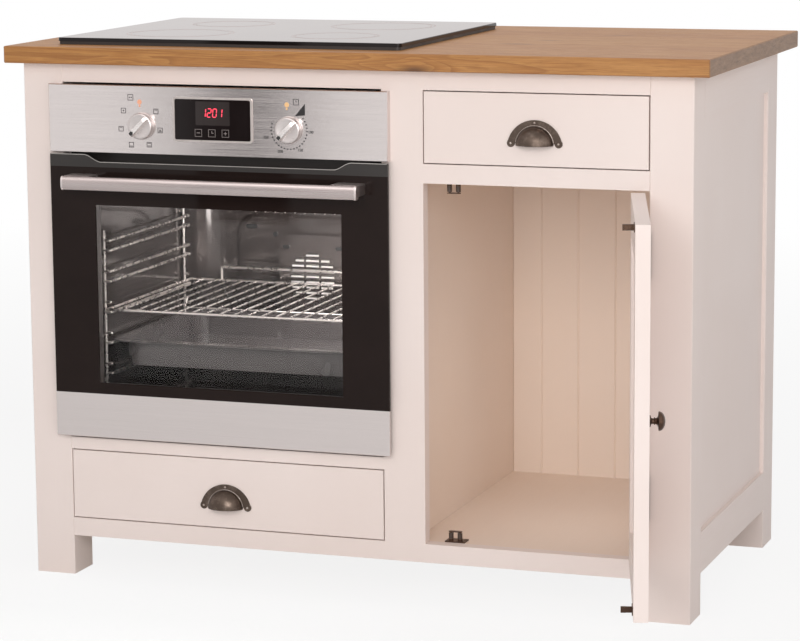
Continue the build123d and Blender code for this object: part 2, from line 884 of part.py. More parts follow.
def fan_cover():
    """The pressed cover in front of the fan, with rows of slots inside a circle."""
    front = cavity_back - fan_cover_depth
    x = around(oven_middle, fan_cover_width)
    z = (fan_cover_low, fan_cover_top)
    shell = slab(x, (front, cavity_back), z)
    shell = fillet(shell.edges().filter_by(Axis.Y), fan_cover_corner)
    inner = slab((x[0] + sheet, x[1] - sheet), (front + sheet, cavity_back), (z[0] + sheet, z[1] - sheet))
    shell -= fillet(inner.edges().filter_by(Axis.Y), fan_cover_corner - sheet)
    column = 2 * grille_radius / grille_columns
    rows = int(grille_radius / grille_pitch)
    for row in range(-rows, rows + 1):
        half = math.sqrt(grille_radius ** 2 - (row * grille_pitch) ** 2)
        for col in range(grille_columns):
            low = max(-grille_radius + col * column + grille_bridge / 2, -half)
            high = min(-grille_radius + (col + 1) * column - grille_bridge / 2, half)
            if high - low > grille_slot:
                slot_x = (oven_middle + low, oven_middle + high)
                shell -= slab(slot_x, (front, front + sheet), around(fan_z + row * grille_pitch, grille_slot))
    return shell


def fan_rotor():
    """The fan wheel: a back disc, a hub and straight blades."""
    back = cavity_back - fan_back_gap
    front = back - fan_depth
    wheel = rod((0, back, 0), (0, back - fan_blade_thick, 0), fan_radius)
    wheel += rod((0, back, 0), (0, front, 0), fan_hub_radius)
    reach = (fan_hub_radius - fan_blade_thick, fan_radius)
    blade = slab(reach, (front, back - fan_blade_thick / 2), around(0, fan_blade_thick))
    for i in range(fan_blades):
        wheel += Rotation(0, 360 / fan_blades * i, 0) * blade
    wheel -= rod((0, back, 0), (0, front, 0), fan_shaft_radius + fan_shaft_play)
    return Pos(oven_middle, 0, fan_z) * wheel


def fan_motor():
    """The fan's motor behind the liner, with its shaft through the back wall."""
    back = cavity_back + sheet
    motor = rod((oven_middle, back, fan_z), (oven_middle, back + motor_length, fan_z), motor_radius)
    shaft_end = cavity_back - fan_back_gap - fan_depth
    return motor + rod((oven_middle, shaft_end, fan_z), (oven_middle, back, fan_z), fan_shaft_radius)


def rack_level(level):
    """Height of the supporting rods of a level."""
    return rack_first + level * rack_pitch


def side_racks():
    """A ladder rack of round rods on each side wall of the cavity."""
    made = []
    low = rack_first - rack_rod - rack_guard
    high = rack_level(rack_levels - 1) + 2 * rack_guard
    for side in (-1, 1):
        wall = oven_middle + side * cavity_width / 2
        x = oven_middle + side * rack_x
        inner = oven_middle + side * rail_rod_x
        rack = Part()
        for y in (rack_front, rack_back):
            rack += rod((x, y, low), (x, y, high), rack_rod)
            for z in (low + rack_guard / 2, high - rack_guard / 2):
                rack += rod((x, y, z), (wall, y, z), rack_peg)
        for level in range(rack_levels):
            for z in (rack_level(level), rack_level(level) + rack_guard):
                path = [(x, rack_front), (inner, rack_front), (inner, rack_back), (x, rack_back)]
                rack += bent_rod([(*spot, z) for spot in path], rack_rod)
        made.append(rack)
    return made


def wire_shelf():
    """The wire shelf: a rod frame, wires from front to back, a raised back rail and a brace."""
    half = rail_rod_x + rack_rod + shelf_overlap - shelf_rod
    z = rack_level(shelf_level) + rack_rod + running_gap + shelf_rod
    back = shelf_front + shelf_depth
    x = (oven_middle - half, oven_middle + half)
    corners = [(x[0], shelf_front, z), (x[1], shelf_front, z), (x[1], back, z), (x[0], back, z)]
    shelf = bent_rod(corners + corners[:2], shelf_rod)
    pitch = 2 * half / (shelf_wires + 1)
    for i in range(shelf_wires):
        wire_x = x[0] + pitch * (i + 1)
        shelf += rod((wire_x, shelf_front, z), (wire_x, back, z), shelf_wire)
    rest = (x[0] + shelf_backrest_inset, x[1] - shelf_backrest_inset)
    top = z + shelf_backrest
    path = [(rest[0], z), (rest[0], top), (rest[1], top), (rest[1], z)]
    shelf += bent_rod([(spot[0], back, spot[1]) for spot in path], shelf_rod)
    low = z - shelf_brace_drop
    y = shelf_front + shelf_brace_y
    nearest = [oven_middle + side * pitch * round(shelf_brace_reach / pitch) for side in (-1, 1)]
    path = [(nearest[0], y + shelf_brace_drop, z), (nearest[0], y, low)]
    path += [(nearest[1], y, low), (nearest[1], y + shelf_brace_drop, z)]
    shelf += bent_rod(path, shelf_wire)
    return shelf


def oven_tray():
    """The deep enamelled tray that hangs by its rim between the rack rods."""
    half = rail_rod_x + rack_rod + shelf_overlap - shelf_rod
    rim_low = rack_level(tray_level) + rack_rod + running_gap
    high = rim_low + tray_wall
    deep = (tray_front, tray_front + tray_depth)
    rim = slab(around(oven_middle, 2 * half), deep, (rim_low, high))
    rim = fillet(rim.edges().filter_by(Axis.Z), tray_corner)
    low = high - tray_height
    reach = half - tray_rim
    inner_y = (deep[0] + tray_rim, deep[1] - tray_rim)
    bowl = slab(around(oven_middle, 2 * reach), inner_y, (low, high))
    bowl = fillet(bowl.edges().filter_by(Axis.Z), tray_corner)
    hollow_x = around(oven_middle, 2 * (reach - tray_wall))
    hollow_y = (inner_y[0] + tray_wall, inner_y[1] - tray_wall)
    hollow = slab(hollow_x, hollow_y, (low + tray_wall, high))
    hollow = fillet(hollow.edges().filter_by(Axis.Z), tray_corner - tray_wall)
    return rim + bowl - hollow


def door_seal():
    """The soft seal round the cavity mouth, just clear of the closed door."""
    y = (door_back + running_gap, casing_front)
    inner = (cavity_width / 2 + seal_inset, cavity_low - seal_inset, cavity_high + seal_inset)
    outer = (inner[0] + seal_width, inner[1] - seal_width, inner[2] + seal_width)
    ring = slab(around(oven_middle, 2 * outer[0]), y, (outer[1], outer[2]))
    ring = fillet(ring.edges().filter_by(Axis.Y), seal_corner + seal_width)
    hole = slab(around(oven_middle, 2 * inner[0]), y, (inner[1], inner[2]))
    return ring - fillet(hole.edges().filter_by(Axis.Y), seal_corner)


def door_axle(x, reach, radius):
    """A round bar on the oven door's axis, reaching both ways from x."""
    return rod((x - reach, oven_hinge_y, oven_hinge_z), (x + reach, oven_hinge_y, oven_hinge_z), radius)


def oven_hinges():
    """Two hinge arms from the casing, each with the pin that the door turns on."""
    made = []
    for side in (-1, 1):
        x = oven_middle + side * oven_hinge_spread
        z = around(oven_hinge_z, 2 * oven_arm_radius)
        arm = slab(around(x, oven_arm_thick), (oven_hinge_y, casing_front), z)
        arm += door_axle(x, oven_arm_thick / 2, oven_arm_radius)
        arm += door_axle(x, oven_arm_thick / 2 + oven_pin_reach, oven_pin_radius)
        made.append(arm)
    return made


def hinge_slots():
    """The slots in the door's foot that let the hinge arms swing, and the bores for the pins."""
    cut = Part()
    for side in (-1, 1):
        x = oven_middle + side * oven_hinge_spread
        width = oven_arm_thick + 2 * oven_arm_gap
        top = oven_hinge_z + oven_arm_radius + 2 * oven_arm_gap
        cut += slab(around(x, width), (glass_back, door_back), (door_bottom - sheet, top))
        reach = oven_arm_thick / 2 + oven_pin_reach + oven_arm_gap
        cut += door_axle(x, reach, oven_pin_radius + oven_pin_play)
    return cut


def oven_door_glass():
    """The black outer glass above the steel strip."""
    z = (door_strip_top, door_trim_bottom)
    return slab(around(oven_middle, fascia_width), (fascia_face, glass_back), z)


def oven_door_strip():
    """The steel strip along the foot of the door."""
    strip = slab(around(oven_middle, fascia_width), (fascia_face, glass_back), (door_bottom, door_strip_top))
    return chamfer(strip.faces().sort_by(Axis.Y)[0].edges().sort_by(Axis.Z)[0], edge_break)


def oven_door_trim():
    """The top trim, whose upper edge dips between two soft curves."""
    half = fascia_width / 2
    middle = (door_dip_start + door_dip_end) / 2
    outline = Polyline((-door_dip_start, door_top), (-half, door_top), (-half, door_trim_bottom),
                       (half, door_trim_bottom), (half, door_top), (door_dip_start, door_top))
    outline += Line((door_dip_end, door_trim_dip), (-door_dip_end, door_trim_dip))
    for side in (-1, 1):
        high = ((side * door_dip_start, door_top), (side * middle, door_top))
        outline += Bezier(*high, (side * middle, door_trim_dip), (side * door_dip_end, door_trim_dip))
    block = extrude(make_face(outline), door_glass)
    return Pos(oven_middle, glass_back, 0) * Rotation(90, 0, 0) * block


def oven_door_frame():
    """The folded frame behind the glass, with the window tube and the solid foot."""
    inner_back = door_back - door_inner_glass
    z = (door_bottom, door_frame_top)
    frame = slab(around(oven_middle, door_frame_width), (glass_back, inner_back), z)
    flange_y = (glass_back, glass_back + door_flange_return)
    frame += slab(around(oven_middle, door_flange_width), flange_y, z)
    inside = door_flange_width / 2 - door_frame_wall
    narrow = door_frame_width / 2
    for side in (-1, 1):
        pocket = sorted((oven_middle + side * narrow, oven_middle + side * inside))
        frame -= slab(pocket, (glass_back + door_frame_wall, flange_y[1]), z)
    hollow_x = around(oven_middle, door_frame_width - 2 * door_frame_wall)
    hollow = slab(hollow_x, (glass_back + door_frame_wall, inner_back - door_frame_wall),
                  (door_bottom + door_foot, door_frame_top))
    tube_x = around(oven_middle, window_width + 2 * (window_margin + door_frame_wall))
    tube_z = (window_bottom - window_margin - door_frame_wall, window_top + window_margin + door_frame_wall)
    frame -= hollow - slab(tube_x, (glass_back, inner_back), tube_z)
    opening_x = around(oven_middle, window_width + 2 * window_margin)
    opening_z = (window_bottom - window_margin, window_top + window_margin)
    frame -= slab(opening_x, (glass_back, inner_back), opening_z)
    return frame - hinge_slots()


def oven_door_inner_glass():
    """The inner glass over the window."""
    x = around(oven_middle, door_inner_glass_width)
    return slab(x, (door_back - door_inner_glass, door_back), (door_inner_glass_bottom, door_inner_glass_top))


def oven_door_handle():
    """The bar and the two lugs that carry it on the glass."""
    back = -handle_front + handle_thick
    bar = slab(around(oven_middle, handle_length), (-handle_front, back), (handle_bottom, handle_top))
    bar = fillet(bar.faces().sort_by(Axis.Y)[0].edges().filter_by(Axis.X), handle_round)
    pieces = [bar]
    for side in (-1, 1):
        end = oven_middle + side * handle_length / 2
        x = sorted((end, end - side * handle_lug))
        pieces.append(slab(x, (back, fascia_face), (handle_top - handle_lug_height, handle_top)))
    return pieces


def knuckle_spans(fixed, low):
    """The heights of the knuckles of one hinge leaf; the fixed leaf has the odd ones."""
    pitch = hinge_length / hinge_knuckles
    first = 0 if fixed else 1
    spans = []
    for i in range(first, hinge_knuckles, 2):
        spans.append((low + i * pitch + hinge_knuckle_gap / 2, low + (i + 1) * pitch - hinge_knuckle_gap / 2))
    return spans


def hinge_bottoms():
    """The lower ends of the two butt hinges."""
    low = cupboard_door_bottom + hinge_inset_low - hinge_length / 2
    high = cupboard_door_top - hinge_inset_high - hinge_length / 2
    return (low, high)


def hinge_barrel(span, radius):
    """A round bar on the cupboard door's axis between two heights."""
    return rod((hinge_x, -hinge_stand_off, span[0]), (hinge_x, -hinge_stand_off, span[1]), radius)


def hinge_half(fixed, low):
    """One leaf of a butt hinge with its knuckles."""
    gap = (reveal - 2 * (hinge_leaf - hinge_recess)) / 2
    x = (hinge_x + gap, hinge_x + gap + hinge_leaf) if fixed else (hinge_x - gap - hinge_leaf, hinge_x - gap)
    whole = (low, low + hinge_length)
    half = slab(x, (0, hinge_leaf_width), whole)
    for span in knuckle_spans(fixed, low):
        half += hinge_barrel(span, hinge_radius)
        half += slab(x, (-hinge_stand_off, 0), span)
    if fixed:
        return half + hinge_barrel(whole, hinge_pin_radius)
    return half - hinge_barrel(whole, hinge_pin_radius + hinge_pin_play)


def hinge_leaves_fixed():
    """The leaves on the leg, each in one piece with its pin."""
    return [hinge_half(True, low) for low in hinge_bottoms()]


def hinge_leaves_moving():
    return [hinge_half(False, low) for low in hinge_bottoms()]


def opened(shape):
    """A piece of the closed cupboard door, swung to the angle at which the door stands."""
    pin = Pos(hinge_x, -hinge_stand_off, 0)
    return pin * Rotation(0, 0, door_open) * pin.inverse() * shape


def door_panel():
    """The panel of the cupboard door, in the grooves of its frame."""
    grow = panel_groove - panel_play
    x = (door_left + door_member - grow, door_right - door_member + grow)
    z = (cupboard_door_bottom + door_member - panel_groove, cupboard_door_top - door_member + grow)
    return slab(x, (panel_recess, panel_recess + panel_thick), z)


def door_frame():
    """The two stiles and two rails of the cupboard door."""
    x = (door_left, door_right)
    z = (cupboard_door_bottom, cupboard_door_top)
    y = (0, rail_thick)
    inner = (x[0] + door_member, x[1] - door_member)
    groove_x = (inner[0] - panel_groove, inner[1] + panel_groove)
    groove_z = (z[0] + door_member - panel_groove, z[1] - door_member + panel_groove)
    groove = slab(groove_x, (panel_recess, panel_recess + panel_thick), groove_z)
    shoulder = panel_groove + panel_play
    rails = []
    for span in ((z[0], z[0] + door_member), (z[1] - door_member, z[1])):
        rails.append(frame_member((inner, y, span), 0, 1, shoulder) - groove)
    stiles = []
    cuts = Part() + rails + hinge_leaves_moving() + [door_knob()]
    for span in ((x[0], inner[0]), (inner[1], x[1])):
        stiles.append(slab(span, y, z) - groove - cuts)
    return stiles + rails


def door_knob():
    """A mushroom knob on a small rose, with a stub in the stile."""
    under = -door_knob_neck_length
    out = -door_knob_projection
    stub = [(0, door_knob_stub_depth), (door_knob_stub, door_knob_stub_depth), (door_knob_stub, 0)]
    rose = [(door_knob_rose, 0), (door_knob_rose, -door_knob_rose_thick), (door_knob_neck, under)]
    path = Polyline((0, out), *stub, *rose)
    path += Line((door_knob_neck, under), (door_knob_radius, under - edge_break))
    path += dome_arc(door_knob_radius, under - edge_break, out)
    knob = revolve(make_face(path), Axis.Y, 360)
    return Pos(door_knob_x, 0, door_knob_z) * knob


def catch_levels():
    """The heights of the two catches, with the board that carries each and its direction."""
    return ((bottom_rail_top, 1), (cupboard_top, -1))


def strike_z(seat, way):
    return seat + way * catch_offset


def door_strikes():
    """The two strikes on the back of the door, each a plate and a bolt with a wider head."""
    made = []
    for seat, way in catch_levels():
        z = strike_z(seat, way)
        back = rail_thick + strike_plate
        plate_z = around(z, strike_plate_height)
        made.append(slab(around(catch_x, strike_plate_width), (rail_thick, back), plate_z))
        neck_end = back + strike_neck_length
        span = around(z, roller_height)
        bolt = slab(around(catch_x, strike_neck), (back, neck_end), span)
        bolt += slab(around(catch_x, strike_head), (neck_end, neck_end + strike_head_length), span)
        made.append(bolt)
    return made


def roller_middle(side):
    return catch_x + side * (roller_gap / 2 + roller_radius)


def catch_bodies():
    """The two catch bodies, each with a plate, a block and the pins of its rollers."""
    made = []
    for seat, way in catch_levels():
        z = strike_z(seat, way)
        near = z - way * (roller_height / 2 + roller_float)
        far = z + way * (roller_height / 2 + roller_float)
        plate_top = seat + way * catch_plate
        plate_y = (catch_front, catch_front + catch_depth)
        body = slab(around(catch_x, catch_length), plate_y, sorted((seat, plate_top)))
        for side in (-1, 1):
            x = roller_middle(side)
            body += rod((x, catch_y, plate_top), (x, catch_y, near), roller_radius)
            body += rod((x, catch_y, near), (x, catch_y, far), roller_pin)
            body += rod((x, catch_y, far), (x, catch_y, far + way * catch_pin_head_height), catch_pin_head)
        made.append(body)
    return made


def catch_roller(level, side):
    """One roller of a catch, bored for its pin."""
    seat, way = catch_levels()[level]
    z = around(strike_z(seat, way), roller_height)
    x = roller_middle(side)
    roller = rod((x, catch_y, z[0]), (x, catch_y, z[1]), roller_radius)
    return roller - rod((x, catch_y, z[0]), (x, catch_y, z[1]), roller_pin + roller_play)


def pieces():
    """Every node of the part with its solids."""
    posts = legs()
    wide = ((oven_left, oven_right), (bottom_rail_top, oven_rail_bottom))
    narrow = ((cupboard_left, cupboard_right), (narrow_drawer_bottom, top_rail_bottom))
    nodes = {
        "leg_front_left": posts[0],
        "leg_front_right": posts[1],
        "back_legs": posts[2:],
        "front_long_rails": front_rails(),
        "centre_stile": centre_stile(),
        "front_short_rails": short_rails(),
        "side_rails": side_rails(),
        "side_panels": side_panels(),
        "back_rails": back_rails(),
        "back_boards": back_boards(),
        "centre_partition": centre_partition(),
        "cupboard_floor": cupboard_floor(),
        "drawer_divider": drawer_divider(),
        "oven_deck": oven_deck(),
        "drawer_runners": drawer_runners(),
        "worktop": worktop(),
        "worktop_buttons": worktop_buttons(),
        "hob_glass": hob_plate(),
        "hob_case": hob_case(),
        "hob_heaters": hob_heaters(),
        "hob_clamps": hob_clamps(),
        "oven_casing": oven_casing(),
        "oven_cavity": oven_cavity(),
        "control_panel": control_panel(),
        "display_bezel": display_bezel(),
        "display_glass": display_glass(),
        "control_switches": control_switches(),
        "function_knob": oven_knob(-1),
        "thermostat_knob": oven_knob(1),
        "fan_cover": fan_cover(),
        "fan_rotor": fan_rotor(),
        "fan_motor": fan_motor(),
        "side_racks": side_racks(),
        "wire_shelf": wire_shelf(),
        "oven_tray": oven_tray(),
        "door_seal": door_seal(),
        "oven_hinges": oven_hinges(),
        "oven_door_glass": oven_door_glass(),
        "oven_door_strip": oven_door_strip(),
        "oven_door_trim": oven_door_trim(),
        "oven_door_frame": oven_door_frame(),
        "oven_door_inner_glass": oven_door_inner_glass(),
        "oven_door_handle": oven_door_handle(),
        "wide_drawer_front": drawer_front(*wide),
        "wide_drawer_box": drawer_box(*wide),
        "wide_drawer_pull": cup_pull(*wide),
        "narrow_drawer_front": drawer_front(*narrow),
        "narrow_drawer_box": drawer_box(*narrow),
        "narrow_drawer_pull": cup_pull(*narrow),
        "butt_hinges_fixed": hinge_leaves_fixed(),
        "catch_bodies": catch_bodies(),
        "cupboard_door_frame": [opened(piece) for piece in door_frame()],
        "cupboard_door_panel": opened(door_panel()),
        "cupboard_door_knob": opened(door_knob()),
        "cupboard_door_strikes": [opened(piece) for piece in door_strikes()],
        "butt_hinges_moving": [opened(piece) for piece in hinge_leaves_moving()],
    }
    for level, height in enumerate(("bottom", "top")):
        for side, hand in ((-1, "left"), (1, "right")):
            nodes[f"catch_roller_{height}_{hand}"] = catch_roller(level, side)
    return nodes


def main():
    os.makedirs("parts", exist_ok=True)
    datum = Pos(-(left + leg / 2), -leg / 2, 0)
    for name, made in pieces().items():
        items = made if isinstance(made, list) else [made]
        solids = [solid for item in items for solid in (datum * item).solids()]
        shape = solids[0] if len(solids) == 1 else Compound(solids)
        export_step(shape, os.path.join("parts", name + ".step"))


if __name__ == "__main__":
    main()
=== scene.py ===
# %% [markdown]
# # A stove surround cabinet
# The object is a painted wooden cabinet on four square legs. It carries a built-in oven over a
# wide drawer, a cupboard under a narrow drawer, an oak worktop and a black glass hob. The solids
# and the joints were measured beforehand, so this lesson only dresses them: it never moves or
# resizes a piece. A new piece takes its place from the box of the solid that carries it, and a
# few heights inside and on the oven are given outright.

# %% Load the measured frame
import math

import bmesh
import bpy
from mathutils import Matrix, Vector


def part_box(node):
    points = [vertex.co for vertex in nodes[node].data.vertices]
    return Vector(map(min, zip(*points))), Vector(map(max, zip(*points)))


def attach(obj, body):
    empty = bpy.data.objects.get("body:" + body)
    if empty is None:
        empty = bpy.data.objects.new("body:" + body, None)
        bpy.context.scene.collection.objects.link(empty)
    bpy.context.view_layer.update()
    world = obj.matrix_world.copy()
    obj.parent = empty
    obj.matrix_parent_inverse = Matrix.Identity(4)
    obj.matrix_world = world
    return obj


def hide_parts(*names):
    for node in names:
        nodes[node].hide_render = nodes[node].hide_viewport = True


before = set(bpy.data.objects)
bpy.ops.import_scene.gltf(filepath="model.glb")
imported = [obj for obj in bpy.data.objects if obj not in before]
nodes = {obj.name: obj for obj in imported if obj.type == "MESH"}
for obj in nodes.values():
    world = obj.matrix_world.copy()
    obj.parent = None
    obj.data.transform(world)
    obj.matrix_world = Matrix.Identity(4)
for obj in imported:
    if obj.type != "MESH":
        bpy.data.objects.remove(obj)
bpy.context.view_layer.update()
MM = 0.001
print("solids in the frame:", len(nodes))


# %% [markdown]
# ## Helpers for node trees
# A material and a Geometry Nodes shape are both trees of nodes. One short function can add a node
# to either, fill its inputs and hand it back. The photograph gives colours as a screen shows them,
# from 0 to 255, so a second helper turns such a colour into the linear values that Blender mixes.

# %% Helpers for node trees
def add(tree, kind, inputs=None, **settings):
    """Adds a node; an input is a plain value or another node's output."""
    made = tree.nodes.new(kind)
    for key, value in settings.items():
        setattr(made, key, value)
    for key, value in (inputs or {}).items():
        if isinstance(value, bpy.types.NodeSocket):
            tree.links.new(value, made.inputs[key])
        else:
            made.inputs[key].default_value = value
    return made


def tone(red, green, blue):
    """A colour as a screen shows it, from 0 to 255, as linear light."""
    made = []
    for part in (red / 255, green / 255, blue / 255):
        made.append(part / 12.92 if part < 0.04045 else ((part + 0.055) / 1.055) ** 2.4)
    return tuple(made)


def new_material(name, colour, rough, **sockets):
    """A material with one Principled shader and plain numbers on its sockets."""
    material = bpy.data.materials.new(name)
    material.use_nodes = True
    shader = material.node_tree.nodes["Principled BSDF"]
    shader.inputs["Base Color"].default_value = (*colour, 1)
    shader.inputs["Roughness"].default_value = rough
    for key, value in sockets.items():
        shader.inputs[key.replace("_", " ")].default_value = value
    return material, shader


def stretched(material, scale):
    """Object coordinates multiplied along each axis."""
    tree = material.node_tree
    place = add(tree, "ShaderNodeTexCoord").outputs["Object"]
    return add(tree, "ShaderNodeMapping", {"Vector": place, "Scale": scale}).outputs["Vector"]


def noise(material, scale, detail=3.0, spread=0.5):
    """A noise pattern whose scale is given along each axis, in turns a metre."""
    inputs = {"Vector": stretched(material, scale), "Scale": 1.0, "Detail": detail, "Roughness": spread}
    return add(material.node_tree, "ShaderNodeTexNoise", inputs).outputs["Fac"]


def ramp(material, factor, stops):
    """A colour ramp from a list of positions and colours."""
    made = add(material.node_tree, "ShaderNodeValToRGB", {"Fac": factor})
    elements = made.color_ramp.elements
    elements.remove(elements[1])
    elements[0].position = stops[0][0]
    elements[0].color = (*stops[0][1], 1)
    for spot, colour in stops[1:]:
        elements.new(spot).color = (*colour, 1)
    return made.outputs["Color"]


def level(material, factor, low, high, start=0.3, end=0.7):
    """Brings a pattern into a range of values."""
    inputs = {"Value": factor, "From Min": start, "From Max": end, "To Min": low, "To Max": high}
    return add(material.node_tree, "ShaderNodeMapRange", inputs).outputs["Result"]


def mixed(material, factor, first, second):
    """Two colours mixed by a factor."""
    inputs = {0: factor}
    for index, value in ((6, first), (7, second)):
        inputs[index] = value if isinstance(value, bpy.types.NodeSocket) else (*value, 1)
    return add(material.node_tree, "ShaderNodeMix", inputs, data_type="RGBA").outputs[2]


def calc(material, operation, first, second=0.0):
    """One sum on two values."""
    inputs = {0: first, 1: second}
    return add(material.node_tree, "ShaderNodeMath", inputs, operation=operation).outputs[0]


def finish_with(material, shader, **links):
    """Links patterns to the sockets of a shader."""
    for key, socket in links.items():
        material.node_tree.links.new(socket, shader.inputs[key.replace("_", " ")])


def show_either(material, share, first, second):
    """Shows one shader or another on the surface, by a share."""
    tree = material.node_tree
    both = add(tree, "ShaderNodeMixShader", {0: share, 1: first.outputs[0], 2: second.outputs[0]})
    tree.links.new(both.outputs[0], tree.nodes["Material Output"].inputs["Surface"])


def run_along(axis, across, along):
    """A scale for a pattern that is stretched along one axis."""
    scale = [across] * 3
    scale[axis] = along
    return scale


def times(colour, share):
    """A colour made lighter or darker."""
    return tuple(part * share for part in colour)


def relief(material, height, strength, depth):
    """A bump from a pattern; depth is in metres."""
    inputs = {"Height": height, "Strength": strength, "Distance": depth}
    return add(material.node_tree, "ShaderNodeBump", inputs).outputs["Normal"]


def dress(material, *names):
    """Gives a material to solids of the frame."""
    for name in names:
        for place in nodes[name].material_slots:
            place.material = material
    print(material.name, "on", ", ".join(names))


# %% [markdown]
# ## Painted wood
# The cabinet is brushed with a warm cream satin paint. Up close such paint is never one flat
# colour: the brush leaves faint lines along the length of each member, and the film is a little
# thicker here and there. A noise pattern stretched along the member gives the brush lines, and a
# slow one gives the clouds. The lines run the way the wood does, so there is one paint for each
# direction. Inside the cupboard the cream is warmer, as painted shade for the warm shade in there.

# %% Painted wood
CREAM = tone(242, 230, 225)
CREAM_DEEP = tone(235, 220, 213)
# The inside colours are a warmer cream: painted shade for the warm shade inside the cupboard.
INSIDE_SHADE = tone(243, 227, 214)
INSIDE_SHADE_DEEP = tone(238, 218, 201)


def satin_paint(name, along, main=CREAM, deep=CREAM_DEEP):
    """Satin paint with brush lines along one axis."""
    material, shader = new_material(name, main, 0.45, Specular_IOR_Level=0.45)
    lines = noise(material, run_along(along, 420.0, 11.0), 4.0, 0.6)
    clouds = noise(material, (3.1, 3.1, 3.1), 2.0)
    colour = mixed(material, level(material, clouds, 0.0, 0.55), main, deep)
    colour = mixed(material, level(material, lines, 0.0, 0.10), colour, deep)
    bump = relief(material, lines, 0.22, 0.00025)
    rough = level(material, lines, 0.40, 0.52)
    finish_with(material, shader, Base_Color=colour, Roughness=rough, Normal=bump)
    return material


paint_x = satin_paint("cream_paint_across", 0)
paint_y = satin_paint("cream_paint_deep", 1)
paint_z = satin_paint("cream_paint_upright", 2)
# Paints for the inside of the cupboard, warmer as painted shade.
inside_shade_y = satin_paint("inside_shade_paint_deep", 1, INSIDE_SHADE, INSIDE_SHADE_DEEP)
inside_shade_z = satin_paint("inside_shade_paint_upright", 2, INSIDE_SHADE, INSIDE_SHADE_DEEP)
dress(paint_z, "leg_front_left", "leg_front_right", "back_legs", "centre_stile", "side_panels",
      "cupboard_door_frame", "cupboard_door_panel")
dress(inside_shade_z, "back_boards", "centre_partition")
dress(paint_x, "front_long_rails", "front_short_rails", "back_rails", "wide_drawer_front",
      "narrow_drawer_front")
dress(paint_y, "side_rails")
dress(inside_shade_y, "cupboard_floor", "drawer_divider")


# %% [markdown]
# ## The oak worktop
# The worktop is made of long oak staves, glued side by side and oiled. Each stave has its own
# tint and its own figure. A noise that is far longer along the grain than across it is cut into
# contour lines, which gives the arches that plain-sawn oak shows, and a much finer one gives the
# pores. Sparse cells of two Voronoi patterns make a few knots and many small ones. The ends show
# end grain, which is darker and has no long lines, so the direction of the surface picks between
# the two.

# %% The oak worktop
def oak(name, stave, light, middle, dark):
    """Oiled oak staves along X, with knots, pores and end grain."""
    material, shader = new_material(name, middle, 0.45)
    tree = material.node_tree
    parts = add(tree, "ShaderNodeSeparateXYZ", {0: stretched(material, (1, 1, 1))}).outputs
    row = calc(material, "FLOOR", calc(material, "DIVIDE", parts["Y"], stave))
    chance = add(tree, "ShaderNodeTexWhiteNoise", {"W": row}, noise_dimensions="1D").outputs["Value"]
    along = calc(material, "ADD", parts["X"], calc(material, "MULTIPLY", chance, 9.0))
    place = add(tree, "ShaderNodeCombineXYZ", {0: along, 1: parts["Y"], 2: parts["Z"]}).outputs[0]

    def grain(scale, detail):
        """A slightly twisted noise in the stave's own place."""
        spot = add(tree, "ShaderNodeMapping", {"Vector": place, "Scale": scale}).outputs["Vector"]
        inputs = {"Vector": spot, "Scale": 1.0, "Detail": detail, "Distortion": 0.35}
        return add(tree, "ShaderNodeTexNoise", inputs).outputs["Fac"]

    def knots(scale, skipped):
        """The dark hearts of sparse knots, and the wider swirl about each."""
        spot = add(tree, "ShaderNodeMapping", {"Vector": place, "Scale": scale}).outputs[0]
        cells = add(tree, "ShaderNodeTexVoronoi", {"Vector": spot, "Scale": 1.0}).outputs
        pick = add(tree, "ShaderNodeSeparateColor", {0: cells["Color"]}).outputs[0]
        rare = level(material, pick, 0.0, 1.0, skipped, skipped + 0.02)
        heart = level(material, cells["Distance"], 1.0, 0.0, 0.03, 0.16)
        halo = level(material, cells["Distance"], 0.35, 0.0, 0.0, 0.5)
        return calc(material, "MULTIPLY", heart, rare), calc(material, "MULTIPLY", halo, rare)

    knot, swirl = knots((4.2, 15.0, 15.0), 0.72)
    pip, stir = knots((14.0, 60.0, 60.0), 0.80)
    swirls = calc(material, "ADD", swirl, calc(material, "MULTIPLY", stir, 0.3))
    slow = calc(material, "ADD", grain((1.3, 20.0, 20.0), 2.0), swirls)
    rings = calc(material, "FRACT", calc(material, "MULTIPLY", slow, 11.0))
    fibres = grain((14.0, 520.0, 520.0), 4.0)
    pores = level(material, grain((48.0, 1500.0, 1500.0), 2.0), 1.0, 0.0, 0.36, 0.46)
    colour = ramp(material, rings, [(0.0, light), (0.55, middle), (0.92, dark), (1.0, light)])
    colour = mixed(material, 0.52, colour, middle)
    colour = mixed(material, level(material, chance, 0.0, 0.45, 0.0, 1.0), colour, light)
    colour = mixed(material, level(material, fibres, 0.0, 0.55, 0.35, 0.7), colour, dark)
    colour = mixed(material, calc(material, "MULTIPLY", pores, 0.35), colour, dark)
    colour = mixed(material, calc(material, "MULTIPLY", knot, 0.8), colour, tone(74, 44, 24))
    colour = mixed(material, calc(material, "MULTIPLY", pip, 0.75), colour, tone(84, 50, 28))
    side = calc(material, "FRACT", calc(material, "DIVIDE", parts["Y"], stave))
    joint = level(material, calc(material, "PINGPONG", side, 0.5), 0.5, 0.0, 0.0, 0.006)
    colour = mixed(material, joint, colour, tone(104, 66, 36))
    normal = add(tree, "ShaderNodeNewGeometry").outputs["Normal"]
    facing = add(tree, "ShaderNodeSeparateXYZ", {0: normal}).outputs["X"]
    is_end = level(material, calc(material, "ABSOLUTE", facing), 0.0, 1.0, 0.6, 0.8)
    end_grain = ramp(material, noise(material, (300, 36, 190), 4.0, 0.6),
                     [(0.3, tone(112, 82, 56)), (0.7, tone(150, 117, 88))])
    colour = mixed(material, is_end, colour, end_grain)
    height = calc(material, "SUBTRACT", fibres, pores)
    finish_with(material, shader, Base_Color=colour, Roughness=level(material, fibres, 0.40, 0.55),
                Normal=relief(material, height, 0.25, 0.0003))
    return material


STAVE = 0.093
worktop_oak = oak("oiled_oak", STAVE, tone(198, 148, 86), tone(178, 123, 64), tone(134, 82, 38))
dress(worktop_oak, "worktop")


